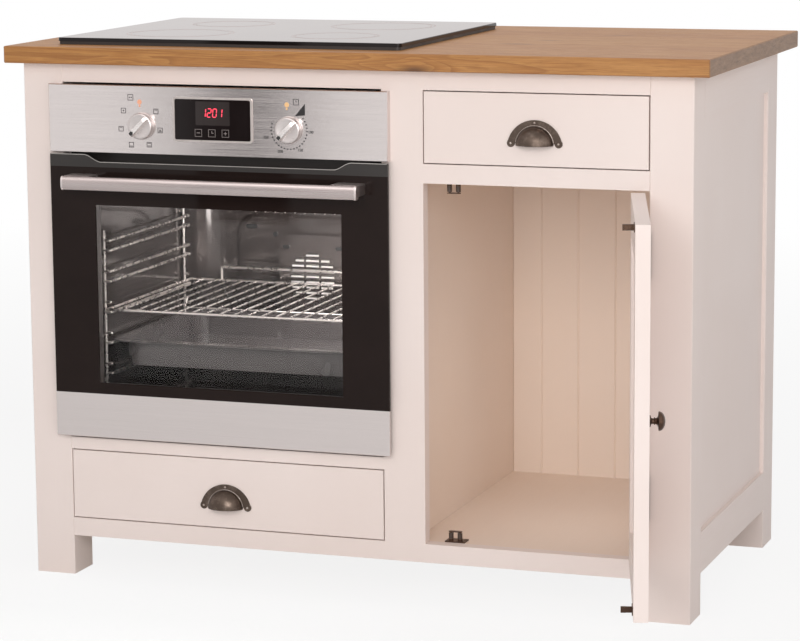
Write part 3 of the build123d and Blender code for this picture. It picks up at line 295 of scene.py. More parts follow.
# %% [markdown]
# ## Bare wood
# Nobody paints the parts that slide or stay hidden: the drawer boxes, their runners, the board
# under the oven and the buttons under the worktop. These are pale birch and beech. A simpler
# figure is enough for them, with long fibres and small dark flecks.

# %% Bare wood
def bare_wood(name, along, light, dark):
    """Pale uncoated wood with fibres along one axis."""
    material, shader = new_material(name, light, 0.6, Specular_IOR_Level=0.35)
    fibres = noise(material, run_along(along, 160.0, 4.0), 5.0, 0.6)
    flecks = noise(material, run_along(along, 900.0, 60.0), 2.0)
    flecks = level(material, flecks, 0.5, 0.0, 0.30, 0.40)
    slow = noise(material, run_along(along, 14.0, 1.1), 2.0)
    rings = calc(material, "PINGPONG", calc(material, "MULTIPLY", slow, 9.0), 0.5)
    colour = mixed(material, level(material, rings, 0.0, 0.35, 0.0, 0.5), light, dark)
    colour = mixed(material, level(material, fibres, 0.0, 0.45), colour, dark)
    colour = mixed(material, flecks, colour, dark)
    finish_with(material, shader, Base_Color=colour, Roughness=level(material, fibres, 0.55, 0.7),
                Normal=relief(material, fibres, 0.3, 0.0003))
    return material


birch = bare_wood("birch_deep", 1, tone(222, 196, 156), tone(190, 156, 112))
beech = bare_wood("beech_deep", 1, tone(208, 168, 124), tone(168, 124, 82))
dress(birch, "wide_drawer_box", "narrow_drawer_box", "oven_deck")
dress(beech, "drawer_runners", "worktop_buttons")


# %% [markdown]
# ## Metals
# Brushed steel gets its look from thousands of fine scratches that all run one way. A noise that
# is stretched along the brushing drives both the roughness and a very shallow bump, so that
# reflections smear across the scratches. Plated wire is smoother, and zinc shows its crystals.

# %% Metals
def brushed_metal(name, along, colour, rough, depth=0.00006):
    """Metal with fine scratches along one axis."""
    material, shader = new_material(name, colour, rough, Metallic=1.0)
    lines = noise(material, run_along(along, 2600.0, 7.0), 3.0, 0.6)
    broad = noise(material, run_along(along, 160.0, 1.5), 2.0)
    dim = times(colour, 0.88)
    tint = mixed(material, level(material, lines, 0.0, 0.35), colour, dim)
    tint = mixed(material, level(material, broad, 0.0, 0.15), tint, dim)
    finish_with(material, shader, Base_Color=tint,
                Roughness=level(material, lines, rough - 0.05, rough + 0.08),
                Normal=relief(material, lines, 0.5, depth))
    return material


def smooth_metal(name, colour, rough):
    """Polished or plated metal with faint handling marks."""
    material, shader = new_material(name, colour, rough, Metallic=1.0)
    marks = noise(material, (60, 60, 60), 5.0, 0.65)
    tint = mixed(material, level(material, marks, 0.0, 0.5), colour, times(colour, 0.9))
    finish_with(material, shader, Base_Color=tint,
                Roughness=level(material, marks, rough * 0.8, rough * 1.5),
                Normal=relief(material, marks, 0.05, 0.0001))
    return material


def zinc_sheet(name):
    """Galvanised sheet with pale and dark crystals."""
    material, shader = new_material(name, tone(150, 152, 154), 0.42, Metallic=1.0)
    inputs = {"Vector": stretched(material, (130, 130, 130)), "Scale": 1.0}
    cells = add(material.node_tree, "ShaderNodeTexVoronoi", inputs)
    grey = add(material.node_tree, "ShaderNodeSeparateColor", {0: cells.outputs["Color"]}).outputs[0]
    colour = ramp(material, grey, [(0.0, tone(166, 167, 168)), (1.0, tone(182, 183, 184))])
    finish_with(material, shader, Base_Color=colour, Roughness=level(material, grey, 0.38, 0.48, 0, 1),
                Normal=relief(material, grey, 0.04, 0.0001))
    return material


steel_across = brushed_metal("brushed_steel_across", 0, tone(220, 212, 210), 0.16, 0.00004)
steel_handle = brushed_metal("brushed_steel_handle", 0, tone(192, 181, 179), 0.26)
steel_caps = brushed_metal("brushed_steel_caps", 2, tone(214, 205, 203), 0.34)
steel_knob = brushed_metal("brushed_knob_metal", 0, tone(210, 203, 201), 0.30)
# The grip is smoother than the skirt and paler: the paleness paints the highlight along it.
grip_highlight_metal = smooth_metal("satin_grip_highlight", tone(248, 243, 241), 0.24)
plated_wire = smooth_metal("plated_wire", tone(228, 221, 217), 0.25)
satin_rim = smooth_metal("satin_rim", tone(196, 188, 184), 0.32)
# Near-white metal for the slot lips and tray rims: painted light through the slots, painted highlight on
# the tray's rim.
lip_painted_light = smooth_metal("lips_painted_light", tone(250, 246, 243), 0.5)
plated_steel = smooth_metal("plated_steel", tone(170, 166, 160), 0.30)
zinc = zinc_sheet("galvanised_sheet")
dress(steel_across, "control_panel", "oven_door_strip")
dress(plated_wire, "side_racks", "wire_shelf")
dress(satin_rim, "display_bezel")
dress(plated_steel, "oven_hinges", "hob_clamps", "fan_rotor")
dress(zinc, "oven_casing", "fan_motor")


# %% [markdown]
# ## Dark fittings
# The cup pulls are cast and darkened: nearly black in the hollows, with bare metal where fingers
# rub. The door knob, hinges and catches are a browner bronze. Noise at two scales lays down the
# rubbed patches and the casting's fine grain, and both look the same from every side.

# %% Dark fittings
def worn_metal(name, dark, bare, rough, share):
    """Darkened metal that is rubbed bare in patches."""
    material, shader = new_material(name, dark, rough, Metallic=0.85)
    patches = noise(material, (95, 95, 95), 5.0, 0.7)
    grains = noise(material, (900, 900, 900), 3.0, 0.6)
    paler_metal = level(material, patches, 0.0, share, 0.48, 0.72)
    colour = mixed(material, paler_metal, dark, bare)
    finish_with(material, shader, Base_Color=colour,
                Roughness=level(material, patches, rough + 0.12, rough - 0.06),
                Normal=relief(material, grains, 0.25, 0.0002))
    return material


pewter = worn_metal("dark_pewter", tone(84, 72, 64), tone(132, 118, 108), 0.30, 0.6)
# A paler metal picks out the rivets and bead of the cup pulls.
paler_metal = worn_metal("pale_pewter", tone(168, 156, 148), tone(214, 206, 200), 0.30, 0.7)
bronze = worn_metal("dark_bronze", tone(76, 58, 48), tone(128, 100, 82), 0.32, 0.6)
dress(pewter, "wide_drawer_pull", "narrow_drawer_pull")
dress(bronze, "cupboard_door_strikes", "catch_bodies", "butt_hinges_fixed",
      "butt_hinges_moving")


# %% [markdown]
# ## Enamel, coatings, plastic and rubber
# The cavity, the tray, the hob's case and the oven door's frame are coated. Enamel is glassy and
# carries a fine pale speckle. The rest are small parts: matt heaters, switch housings, the door's
# seal and trim, and the rollers of the catches.

# %% Enamel, coatings, plastic and rubber
def speckled(name, base, fleck, rough, amount, **sockets):
    """A coat with a fine speckle and a slight unevenness."""
    material, shader = new_material(name, base, rough, **sockets)
    dots = level(material, noise(material, (1500, 1500, 1500), 1.0), 0.0, amount, 0.62, 0.72)
    waves = noise(material, (22, 22, 22), 2.0)
    finish_with(material, shader, Base_Color=mixed(material, dots, base, fleck),
                Roughness=level(material, waves, rough * 0.85, rough * 1.25),
                Normal=relief(material, waves, 0.12, 0.0008))
    return material


enamel = speckled("grey_enamel", tone(62, 55, 53), tone(104, 96, 93), 0.17, 0.5, Metallic=0.55,
                  Specular_IOR_Level=0.8, Coat_Weight=0.6, Coat_Roughness=0.06)
tray_enamel = speckled("tray_enamel", tone(62, 58, 58), tone(112, 106, 104), 0.22, 0.6,
                       Specular_IOR_Level=0.7, Coat_Weight=0.4, Coat_Roughness=0.1)
dark_coat = speckled("dark_steel_coat", tone(48, 43, 41), tone(64, 59, 57), 0.42, 0.4)
heater_felt = speckled("heater_felt", tone(150, 120, 96), tone(200, 180, 160), 0.85, 0.6)
black_plastic = speckled("black_plastic", tone(34, 33, 33), tone(48, 47, 47), 0.5, 0.5)
seal_rubber = speckled("seal_rubber", tone(40, 38, 37), tone(60, 58, 56), 0.7, 0.6)
trim_plastic = speckled("trim_plastic", tone(36, 32, 30), tone(52, 47, 45), 0.34, 0.4)
roller_plastic = speckled("roller_plastic", tone(70, 56, 48), tone(92, 78, 68), 0.4, 0.4)
dress(enamel, "oven_cavity", "fan_cover")
dress(tray_enamel, "oven_tray")
dress(dark_coat, "hob_case", "oven_door_frame")
dress(heater_felt, "hob_heaters")
dress(black_plastic, "control_switches")
dress(seal_rubber, "door_seal")
dress(trim_plastic, "oven_door_trim")
ROLLERS = [name for name in nodes if name.startswith("catch_roller")]
dress(roller_plastic, *ROLLERS)


# %% [markdown]
# ## Glass
# Three kinds of glass meet here. The hob is black ceramic glass and mirrors the room at a low
# angle. The door's outer pane is printed black from behind round its window. The window itself
# and the inner pane are clear, and mirror less than plain glass would, as if they were coated
# against reflections. Lamps have to shine through a clear pane, so rays that only ask whether a
# lamp is in sight meet a Transparent shader in its place.

# %% Glass
CLEAR_INDEX = 1.17


def black_glass(name, colour, rough, shine=0.5):
    """Glass with a dark backing and the faintest film of handling."""
    material, shader = new_material(name, colour, rough, Specular_IOR_Level=shine)
    film = noise(material, (9, 9, 9), 4.0, 0.6)
    tint = mixed(material, level(material, film, 0.0, 0.5), colour, times(colour, 1.5))
    finish_with(material, shader, Base_Color=tint,
                Roughness=level(material, film, rough * 0.7, rough * 1.5))
    return material


def clear_glass(name, tint):
    """A clear pane that lets lamps through."""
    material, shader = new_material(name, tint, 0.02, Transmission_Weight=1.0, IOR=CLEAR_INDEX)
    tree = material.node_tree
    film = noise(material, (14, 14, 14), 4.0, 0.6)
    finish_with(material, shader, Roughness=level(material, film, 0.0, 0.03))
    through = add(tree, "ShaderNodeBsdfTransparent", {"Color": (*tint, 1)})
    asks = add(tree, "ShaderNodeLightPath").outputs["Is Shadow Ray"]
    show_either(material, asks, shader, through)
    return material


# The hob's reflections are tinted a warm pink, a painted reflection of a pinkish room.
HOB_TINT = (1.0, 0.91, 0.89, 1)
hob_black = black_glass("black_ceramic_glass", tone(24, 21, 21), 0.05, 0.26)
hob_shader = hob_black.node_tree.nodes["Principled BSDF"]
hob_shader.inputs["Specular Tint"].default_value = HOB_TINT
door_black = black_glass("black_printed_glass", tone(34, 26, 24), 0.04, 0.10)
display_black = black_glass("display_glass_black", tone(26, 20, 20), 0.08, 0.2)
pane_clear = clear_glass("clear_pane", (0.97, 0.965, 0.96))
dress(hob_black, "hob_glass")
dress(display_black, "display_glass")
dress(pane_clear, "oven_door_inner_glass")


# %% [markdown]
# ## Helpers for meshes
# Most new pieces are skins over a row of outlines, as a boat's hull is over its ribs. A turned
# knob is such a skin too, with circles for ribs. A flat plate is a skin over two outlines. Each
# helper hands back such a row, and one function makes a piece from any number of rows. The object
# stays at the origin and its place is in its mesh. A row that ends with the very outline it began
# with is a closed ring, and gets no caps.

# %% Helpers for meshes
def in_scene(name, data):
    """An object for a mesh, a text, a lamp or a camera, linked to the scene."""
    made = bpy.data.objects.new(name, data)
    bpy.context.scene.collection.objects.link(made)
    return made


def keep(name, mesh_maker, material, body):
    """Makes an object from a bmesh, gives it a material and lets it ride on a body."""
    bmesh.ops.remove_doubles(mesh_maker, verts=mesh_maker.verts, dist=1e-7)
    bmesh.ops.recalc_face_normals(mesh_maker, faces=mesh_maker.faces)
    mesh = bpy.data.meshes.new(name)
    mesh_maker.to_mesh(mesh)
    mesh_maker.free()
    piece = in_scene(name, mesh)
    mesh.materials.append(material)
    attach(piece, body)
    return piece


def skin(mesh_maker, rings):
    """Covers a row of outlines that have as many points each."""
    rows = [[mesh_maker.verts.new(spot) for spot in ring] for ring in rings]
    count = len(rows[0])
    for low, high in zip(rows, rows[1:]):
        for i in range(count):
            mesh_maker.faces.new((low[i], low[(i + 1) % count], high[(i + 1) % count], high[i]))
    if rings[0] is not rings[-1]:
        mesh_maker.faces.new(rows[0])
        mesh_maker.faces.new(list(reversed(rows[-1])))


def build(name, skins, material, body):
    """Makes one piece from any number of skins."""
    mesh_maker = bmesh.new()
    for rings in skins:
        skin(mesh_maker, rings)
    return keep(name, mesh_maker, material, body)


def turned(centre, profile, segments=72, aim=Matrix.Identity(3)):
    """A turned shape: the profile gives radius and depth towards the viewer, and aim turns it."""
    rings = []
    for radius, depth in profile:
        ring = []
        for i in range(segments):
            angle = 2 * math.pi * i / segments
            across = Vector((math.cos(angle) * radius, -depth, math.sin(angle) * radius))
            ring.append(centre + aim @ across)
        rings.append(ring)
    return rings


def upright(outline, depth):
    """An outline in X and Z, set up at a depth."""
    return [Vector((x, depth, z)) for x, z in outline]


def plate(outline, face, thick):
    """A flat plate: its outline, the depth of its front face, and its thickness."""
    return [upright(outline, face), upright(outline, face + thick)]


def flat_ring(outer, inner, face, thick):
    """A flat ring between two outlines with as many points each."""
    back = face + thick
    loops = [upright(outer, face), upright(inner, face), upright(inner, back), upright(outer, back)]
    return loops + [loops[0]]


def smooth(piece, angle):
    """Shades a piece smooth, but keeps edges sharper than an angle."""
    mesh = piece.data
    mesh.polygons.foreach_set("use_smooth", [True] * len(mesh.polygons))
    mesh.set_sharp_from_angle(angle=math.radians(angle))
    return piece


def rounded(x0, x1, z0, z1, radius, steps=8, grow=0.0):
    """The outline of a rounded rectangle in X and Z, which can grow on all sides."""
    points = []
    for x, z, start in ((x1, z1, 0), (x0, z1, 90), (x0, z0, 180), (x1, z0, 270)):
        centre_x = x - math.copysign(radius, x - (x0 + x1) / 2)
        centre_z = z - math.copysign(radius, z - (z0 + z1) / 2)
        for i in range(steps + 1):
            angle = math.radians(start + 90 * i / steps)
            points.append((centre_x + (radius + grow) * math.cos(angle),
                           centre_z + (radius + grow) * math.sin(angle)))
    return points


# %% [markdown]
# ## The oven door's outer glass
# On the real door one sheet of glass has a black print behind it, with a clear window left in
# the middle. One flat black ring with a clear pane inside it reads as that one sheet, and each of
# the two can have its own plain material, which survives an export better than a mask.

# %% The oven door's outer glass
glass_low, glass_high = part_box("oven_door_glass")
WINDOW_WIDTH = 435 * MM
WINDOW_LOW = 337 * MM
WINDOW_HIGH = 637 * MM
oven_x = (glass_low.x + glass_high.x) / 2
window_x = (oven_x - WINDOW_WIDTH / 2, oven_x + WINDOW_WIDTH / 2)
window_outline = rounded(*window_x, WINDOW_LOW, WINDOW_HIGH, 1.5 * MM)
glass_outline = rounded(glass_low.x, glass_high.x, glass_low.z, glass_high.z, 0.8 * MM)
thick = glass_high.y - glass_low.y
border = flat_ring(glass_outline, window_outline, glass_low.y, thick)
door_border = build("oven_door_glass_border", [border], door_black, "oven_door")
pane = plate(window_outline, glass_low.y, thick)
door_pane = build("oven_door_window_pane", [pane], pane_clear, "oven_door")
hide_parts("oven_door_glass")
print("window:", round(WINDOW_WIDTH / MM), "x", round((WINDOW_HIGH - WINDOW_LOW) / MM), "mm")


# %% [markdown]
# ## The oven door's handle
# The handle is a flat bar of brushed steel whose front is slightly crowned, so that one long line
# of light runs along it. A short cap of brighter steel closes each end, and two lugs carry the
# bar on the glass. Bar and caps are skins over the same cross section.

# %% The oven door's handle
handle_low, handle_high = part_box("oven_door_handle")
BAR_THICK = 12 * MM
CAP = 3.5 * MM
CROWN = 4.5 * MM
CROWN_POWER = 2.4
BEVEL = 1 * MM
LUG_WIDE = 48 * MM
LUG_TALL = 19 * MM


def bar_section(x, shrink):
    """The bar's outline at one place along it: flat behind, crowned in front."""
    middle = Vector((x, handle_low.y + BAR_THICK / 2, (handle_low.z + handle_high.z) / 2))
    half = (handle_high.z - handle_low.z) / 2
    deep = BAR_THICK / 2
    points = [(deep - BEVEL, -half), (deep, BEVEL - half), (deep, half - BEVEL), (deep - BEVEL, half)]
    for i in range(17):
        up = math.cos(math.pi * i / 16)
        crown = 1 - (1 - abs(up) ** CROWN_POWER) ** (1 / CROWN_POWER)
        points.append((crown * CROWN - deep, up * half))
    return [middle + Vector((0, y, z)) * shrink for y, z in points]


handle_ends = ((handle_low.x, 1), (handle_high.x, -1))
bar = [bar_section(end + inwards * CAP, 0.97) for end, inwards in handle_ends]
caps = []
lugs = []
lug_face = handle_low.y + BAR_THICK
for end, inwards in handle_ends:
    stations = ((0, 0.9), (0.8 * MM, 1.0), (CAP, 1.0))
    caps.append([bar_section(end + inwards * inset, shrink) for inset, shrink in stations])
    x0, x1 = sorted((end, end + inwards * LUG_WIDE))
    outline = rounded(x0, x1, handle_high.z - LUG_TALL, handle_high.z, 2.5 * MM)
    lugs.append(plate(outline, lug_face, handle_high.y - lug_face))
handle_bar = smooth(build("oven_handle_bar", [bar], steel_handle, "oven_door"), 30)
handle_caps = smooth(build("oven_handle_caps", caps, steel_caps, "oven_door"), 30)
handle_lugs = smooth(build("oven_handle_lugs", lugs, steel_caps, "oven_door"), 30)
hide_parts("oven_door_handle")
print("handle:", round((handle_high.x - handle_low.x) / MM), "mm long")


# %% [markdown]
# ## Above and behind the door
# The trim on top of the door is black plastic with a thin pale metal bead along its upper edge, and
# that edge dips in the middle to let warm air out. The bead's paleness is a painted highlight along
# the edge. Through the dip one sees the front plate of the oven, which is enamelled black round the
# mouth of the cavity.

# %% Above and behind the door
trim_low, trim_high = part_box("oven_door_trim")
DIP_START = 236.0
DIP_END = 205.0
DIP_DEPTH = 12 * MM
BEAD = 1.1 * MM
PLATE_THICK = 0.4 * MM


def trim_edge_line():
    """Points along the trim's upper edge, with the same soft curves as the solid."""
    side = []
    for i in range(13):
        t = i / 12
        ease = 3 * t * t - 2 * t ** 3
        side.append((DIP_START + (DIP_END - DIP_START) * t, trim_high.z - DIP_DEPTH * ease))
    right = [(oven_x + x * MM, z) for x, z in reversed(side)]
    left = [(oven_x - x * MM, z) for x, z in side]
    return [(trim_low.x + 1 * MM, trim_high.z)] + left + right + [(trim_high.x - 1 * MM, trim_high.z)]


# The bead's pale metal is a painted highlight along the trim's edge.
bead_highlight_metal = smooth_metal("trim_highlight_bead", tone(176, 172, 168), 0.34)
bead = []
for x, z in trim_edge_line():
    corners = ((-0.15, -1.0), (-0.15, 0.0), (0.8, 0.1), (0.8, -1.0))
    bead.append([Vector((x, trim_low.y + a * MM, z + b * BEAD)) for a, b in corners])
trim_highlight_bead = build("oven_trim_highlight_bead", [bead], bead_highlight_metal, "oven_door")
casing_low, casing_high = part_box("oven_casing")
liner_low, liner_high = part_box("oven_cavity")
mouth = rounded(liner_low.x, liner_high.x, liner_low.z, liner_high.z, 3 * MM, grow=-2 * MM)
rim = rounded(casing_low.x, casing_high.x, casing_low.z, casing_high.z, 1 * MM)
front = flat_ring(rim, mouth, casing_low.y - PLATE_THICK, PLATE_THICK)
front_plate = build("oven_front_plate", [front], dark_coat, "cabinet")
print("trim bead has", len(bead), "stations")


# %% [markdown]
# ## The two oven knobs
# Each knob is turned from aluminium. A shallow skirt carries a raised bar that runs across the
# face, wider at one end, with a groove milled along its top. The skirt is a turned skin. The bar
# is a skin over cross sections with a notch in the middle, and the sections shrink towards the
# ends so that they look rounded. The tables are in millimetres, or in shares of the bar.

# %% The two oven knobs
KNOB_TURN = Matrix.Rotation(math.radians(-45), 3, "Y")
DISC = 10
BAR_FOOT = (DISC - 1.4) * MM
BAR_INSET = 1.8 * MM
BAR_SECTION = [(-5.6, 0), (-4.3, 0.86), (-3.5, 1.0), (-1.0, 1.0), (-0.7, 0.90), (0.7, 0.90),
               (1.0, 1.0), (3.5, 1.0), (4.3, 0.86), (5.6, 0)]
BAR_STATIONS = [(-1.0, 0.72, 0.45), (-0.97, 0.88, 0.86), (-0.9, 1.0, 0.97), (-0.3, 1.0, 1.0),
                (0.5, 0.9, 1.0), (0.88, 0.78, 0.97), (0.97, 0.62, 0.84), (1.0, 0.4, 0.4)]
SKIRT_SIDE = [(1.5, 0), (0, 0.6), (0.4, 4), (1.3, 8.6),
              (2.2, DISC - 0.5), (3.4, DISC), (5.5, DISC - 0.5)]
SKIRT_FACE = [(8 * MM, (DISC - 0.9) * MM), (0.2 * MM, (DISC - 1.0) * MM)]
MARK_CORNERS = [(-0.9, -3.0), (-0.62, -3.0), (-0.62, 3.0), (-0.9, 3.0)]


def on_knob(centre, points):
    """Points of an upright knob, turned to its rest angle."""
    return [centre + KNOB_TURN @ Vector(point) for point in points]


def knob_bar(centre, face, height, reach):
    """The raised bar across a knob's face."""
    rings = []
    for spot, wide, tall in BAR_STATIONS:
        points = [(spot * reach, -(face + up * tall * height), across * wide * MM)
                  for across, up in BAR_SECTION]
        rings.append(on_knob(centre, points))
    return rings


def grip_mark(centre, face, reach):
    """A small dark mark near the wide end of the bar."""
    rings = []
    for depth in (face, face + 0.12 * MM):
        rings.append(on_knob(centre, [(spot * reach, -depth, z * MM) for spot, z in MARK_CORNERS]))
    return rings


def oven_knob(name):
    """A turned skirt and its bar in place of the plain solid; hands back the knob's centre."""
    low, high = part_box(name)
    centre = Vector(((low.x + high.x) / 2, high.y, (low.z + high.z) / 2))
    radius = (high.x - low.x) / 2
    tall = high.y - low.y
    side = [(radius - inset * MM, depth * MM) for inset, depth in SKIRT_SIDE]
    skirt = turned(centre, [(3.2 * MM, 0)] + side + SKIRT_FACE)
    piece = smooth(build(name + "_skirt", [skirt], steel_knob, name), 40)
    bar = knob_bar(centre, BAR_FOOT, tall - BAR_FOOT, radius - BAR_INSET)
    grip = smooth(build(name + "_grip", [bar], grip_highlight_metal, name), 40)
    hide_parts(name)
    mark = grip_mark(centre, tall - 0.1 * MM, radius - BAR_INSET)
    build(name + "_mark", [mark], black_plastic, name)
    return centre


function_centre = oven_knob("function_knob")
thermostat_centre = oven_knob("thermostat_knob")


# %% [markdown]
# ## Marks on the control panel
# The signs round the knobs are printed: small squares for the oven's functions and one for its
# clock, two lamp signs, a wedge that marks the zero of the thermostat, and four plain numbers.
# Ink has hardly any thickness, so each sign is a plate about a tenth of a millimetre thick that
# lies on the steel. Places are in millimetres from the middle of the knob.

# %% Marks on the control panel
ink_black = speckled("panel_ink", tone(26, 23, 25), tone(44, 40, 42), 0.6, 0.4)
# The two lamp signs are printed ink, and their faint glow is painted light.
glowing_ink_orange = new_material("lamp_sign_orange_glow", tone(226, 142, 92), 0.4, Emission_Strength=0.15)[0]
glowing_ink_yellow = new_material("lamp_sign_yellow_glow", tone(224, 170, 92), 0.4, Emission_Strength=0.15)[0]
INK = 0.12 * MM
panel_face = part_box("control_panel")[0].y


def printed(centre, points, face):
    """A printed sign, whose outline is in millimetres from a centre."""
    return plate([(centre.x + x * MM, centre.z + z * MM) for x, z in points], face - INK, INK)


def bar_mark(centre, x0, z0, x1, z1, face):
    """A printed bar between two corners."""
    return printed(centre, ((x0, z0), (x1, z0), (x1, z1), (x0, z1)), face)


def square_mark(centre, x, z, half, bars, face, line=0.95):
    """An outlined square with bars inside it, given as shares of its half width."""
    inner = half - line
    spans = [(-half, -half, half, -inner), (-half, inner, half, half),
             (-half, -inner, -inner, inner), (inner, -inner, half, inner)]
    spans += [[share * half for share in bar] for bar in bars]
    return [bar_mark(centre, x + x0, z + z0, x + x1, z + z1, face) for x0, z0, x1, z1 in spans]


TOP_BAR = (-0.6, 0.36, 0.6, 0.6)
LOW_BAR = (-0.6, -0.6, 0.6, -0.36)
FAN_SIGN = [(-0.4, -0.1, 0.4, 0.1), (-0.1, -0.4, 0.1, 0.4)]
TWO_DOTS = [(-0.5, -0.2, -0.15, 0.2), (0.15, -0.2, 0.5, 0.2)]
GRILL_TEETH = [(-0.55 + 0.3 * i, 0.2, -0.4 + 0.3 * i, 0.6) for i in range(4)]
CLOCK_HANDS = [(-0.08, -0.05, 0.08, 0.55), (-0.05, -0.08, 0.45, 0.08)]
FUNCTIONS = [(-19.4, 46.5, 5.0, TWO_DOTS), (25.6, 24.5, 4.4, [TOP_BAR]),
             (32.6, -6.5, 4.4, FAN_SIGN + [LOW_BAR]), (12.6, -30.5, 4.4, [TOP_BAR, LOW_BAR]),
             (-19.4, -31.5, 4.4, [LOW_BAR]), (-37.4, -5.5, 4.4, GRILL_TEETH),
             (-32.4, 24.5, 4.4, FAN_SIGN)]
WEDGE = [(10.4, 22.8), (27.9, 43.2), (27.9, 24.4)]
signs = []
for sign in FUNCTIONS:
    signs += square_mark(function_centre, *sign, panel_face)
signs += square_mark(thermostat_centre, 12.4, 45.5, 5.0, CLOCK_HANDS, panel_face)
signs.append(printed(thermostat_centre, WEDGE, panel_face))
build("panel_marks", signs, ink_black, "cabinet")


def lamp_sign(name, centre, x, z, material):
    """A small bulb: a round head over a short neck."""
    turns = [math.radians(-60 + 300 * i / 19) for i in range(20)]
    head = [(x + 4.0 * math.cos(turn), z + 4.2 + 4.2 * math.sin(turn)) for turn in turns]
    neck = bar_mark(centre, x - 1.5, z - 3.8, x + 1.5, z - 0.2, panel_face)
    build(name, [printed(centre, head, panel_face), neck], material, "cabinet")


lamp_sign("function_lamp", function_centre, -3.4, 35.0, glowing_ink_orange)
lamp_sign("thermostat_lamp", thermostat_centre, -3.4, 36.5, glowing_ink_yellow)


def frozen(helper):
    """The finished mesh of a helper object, which is removed."""
    graph = bpy.context.evaluated_depsgraph_get()
    mesh = bpy.data.meshes.new_from_object(helper.evaluated_get(graph))
    bpy.data.objects.remove(helper)
    return mesh


def number_mark(text, centre, x, z, height):
    """Plain numerals as a thin mesh on the panel."""
    curve = bpy.data.curves.new("numeral", "FONT")
    curve.body = text
    curve.size = height
    curve.extrude = INK / 2
    curve.offset = 0.16 * MM
    curve.align_x = "CENTER"
    curve.align_y = "CENTER"
    mesh = frozen(in_scene("numeral", curve))
    place = Matrix.Translation((centre.x + x * MM, panel_face - INK / 2, centre.z + z * MM))
    mesh.transform(place @ Matrix.Rotation(math.radians(90), 4, "X"))
    return mesh


NUMBERS = [("100", 37.5, -2.5), ("150", 19.0, -32.0), ("200", -15.6, -35.0), ("250", -40.0, -12.5)]
NUMBER_HEIGHT = 6.2 * MM
maker = bmesh.new()
for text, x, z in NUMBERS:
    mesh = number_mark(text, thermostat_centre, x, z, NUMBER_HEIGHT)
    maker.from_mesh(mesh)
    bpy.data.meshes.remove(mesh)
keep("panel_numbers", maker, ink_black, "cabinet")
print("signs on the panel:", len(FUNCTIONS) + 4, "and", len(NUMBERS), "numbers")


# %% [markdown]
# ## A row of dots with Geometry Nodes
# The thermostat's scale is an arc of dots. That is a job for Geometry Nodes: an arc is resampled
# to a number of points, one disc is placed on each, and the copies are made real at the end. The
# tree has a named input for each size, so the same tree could mark any dial.

# %% A row of dots with Geometry Nodes
def step(tree, kind, inputs, **settings):
    """Adds a node and hands back what comes out of it first."""
    return add(tree, kind, inputs, **settings).outputs[0]


def new_tree(name, sizes):
    """A Geometry Nodes tree with a geometry in, a geometry out and one input for each size."""
    tree = bpy.data.node_groups.new(name, "GeometryNodeTree")
    for way in ("INPUT", "OUTPUT"):
        tree.interface.new_socket("Geometry", in_out=way, socket_type="NodeSocketGeometry")
    for label, (kind, value) in sizes.items():
        tree.interface.new_socket(label, in_out="INPUT", socket_type=kind).default_value = value
    return tree, add(tree, "NodeGroupInput").outputs, add(tree, "NodeGroupOutput").inputs


def close_tree(tree, instances, exit_sockets, material):
    """Ends a tree: copies are made real and get their material."""
    real = step(tree, "GeometryNodeRealizeInstances", {0: instances})
    dressed = step(tree, "GeometryNodeSetMaterial", {"Geometry": real, "Material": material})
    tree.links.new(dressed, exit_sockets[0])


def grown(name, tree, body, spots=(), lines=(), **sizes):
    """Runs a tree over a few points or lines and keeps the result as a plain mesh."""
    base = bpy.data.meshes.new(name + "_points")
    base.from_pydata([tuple(spot) for spot in spots], lines, [])
    carrier = in_scene(name + "_carrier", base)
    modifier = carrier.modifiers.new("shape", "NODES")
    modifier.node_group = tree
    for item in tree.interface.items_tree:
        if item.in_out == "INPUT" and item.name in sizes:
            modifier[item.identifier] = sizes[item.name]
    mesh = frozen(carrier)
    piece = in_scene(name, mesh)
    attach(piece, body)
    print(name, "has", len(mesh.polygons), "faces")
    return piece


FLOAT, WHOLE, VECTOR = "NodeSocketFloat", "NodeSocketInt", "NodeSocketVector"
dot_tree, sizes_in, shape_out = new_tree("dial_dots", {
    "Radius": (FLOAT, 31 * MM), "Start": (FLOAT, 0.0), "Sweep": (FLOAT, 3.0), "Dots": (WHOLE, 24),
    "Dot": (FLOAT, 1.35 * MM), "Centre": (VECTOR, (0, 0, 0))})
arc = step(dot_tree, "GeometryNodeCurveArc", {
    "Resolution": 64, "Radius": sizes_in["Radius"], "Start Angle": sizes_in["Start"],
    "Sweep Angle": sizes_in["Sweep"]})
spaced = step(dot_tree, "GeometryNodeResampleCurve", {"Curve": arc, "Count": sizes_in["Dots"]})
disc = step(dot_tree, "GeometryNodeMeshCylinder",
            {"Vertices": 8, "Radius": sizes_in["Dot"], "Depth": INK})
copies = step(dot_tree, "GeometryNodeInstanceOnPoints", {"Points": spaced, "Instance": disc})
placed = step(dot_tree, "GeometryNodeTransform", {
    "Geometry": copies, "Translation": sizes_in["Centre"], "Rotation": (math.radians(90), 0, 0)})
close_tree(dot_tree, placed, shape_out, ink_black)
scale_centre = (thermostat_centre.x, panel_face - INK / 2, thermostat_centre.z)
SCALE_START = math.radians(38)
SCALE_SWEEP = math.radians(-236)
grown("thermostat_scale", dot_tree, "cabinet", Centre=scale_centre, Start=SCALE_START,
      Sweep=SCALE_SWEEP)


# %% [markdown]
# ## The display
# On a real oven red digits glow behind a small black window. Here the four digits and the three
# touch keys are thin plates on the window's face, the digits before a slightly lighter field. A
# digit is made of seven bars, and a table of which bars are lit spells any number.

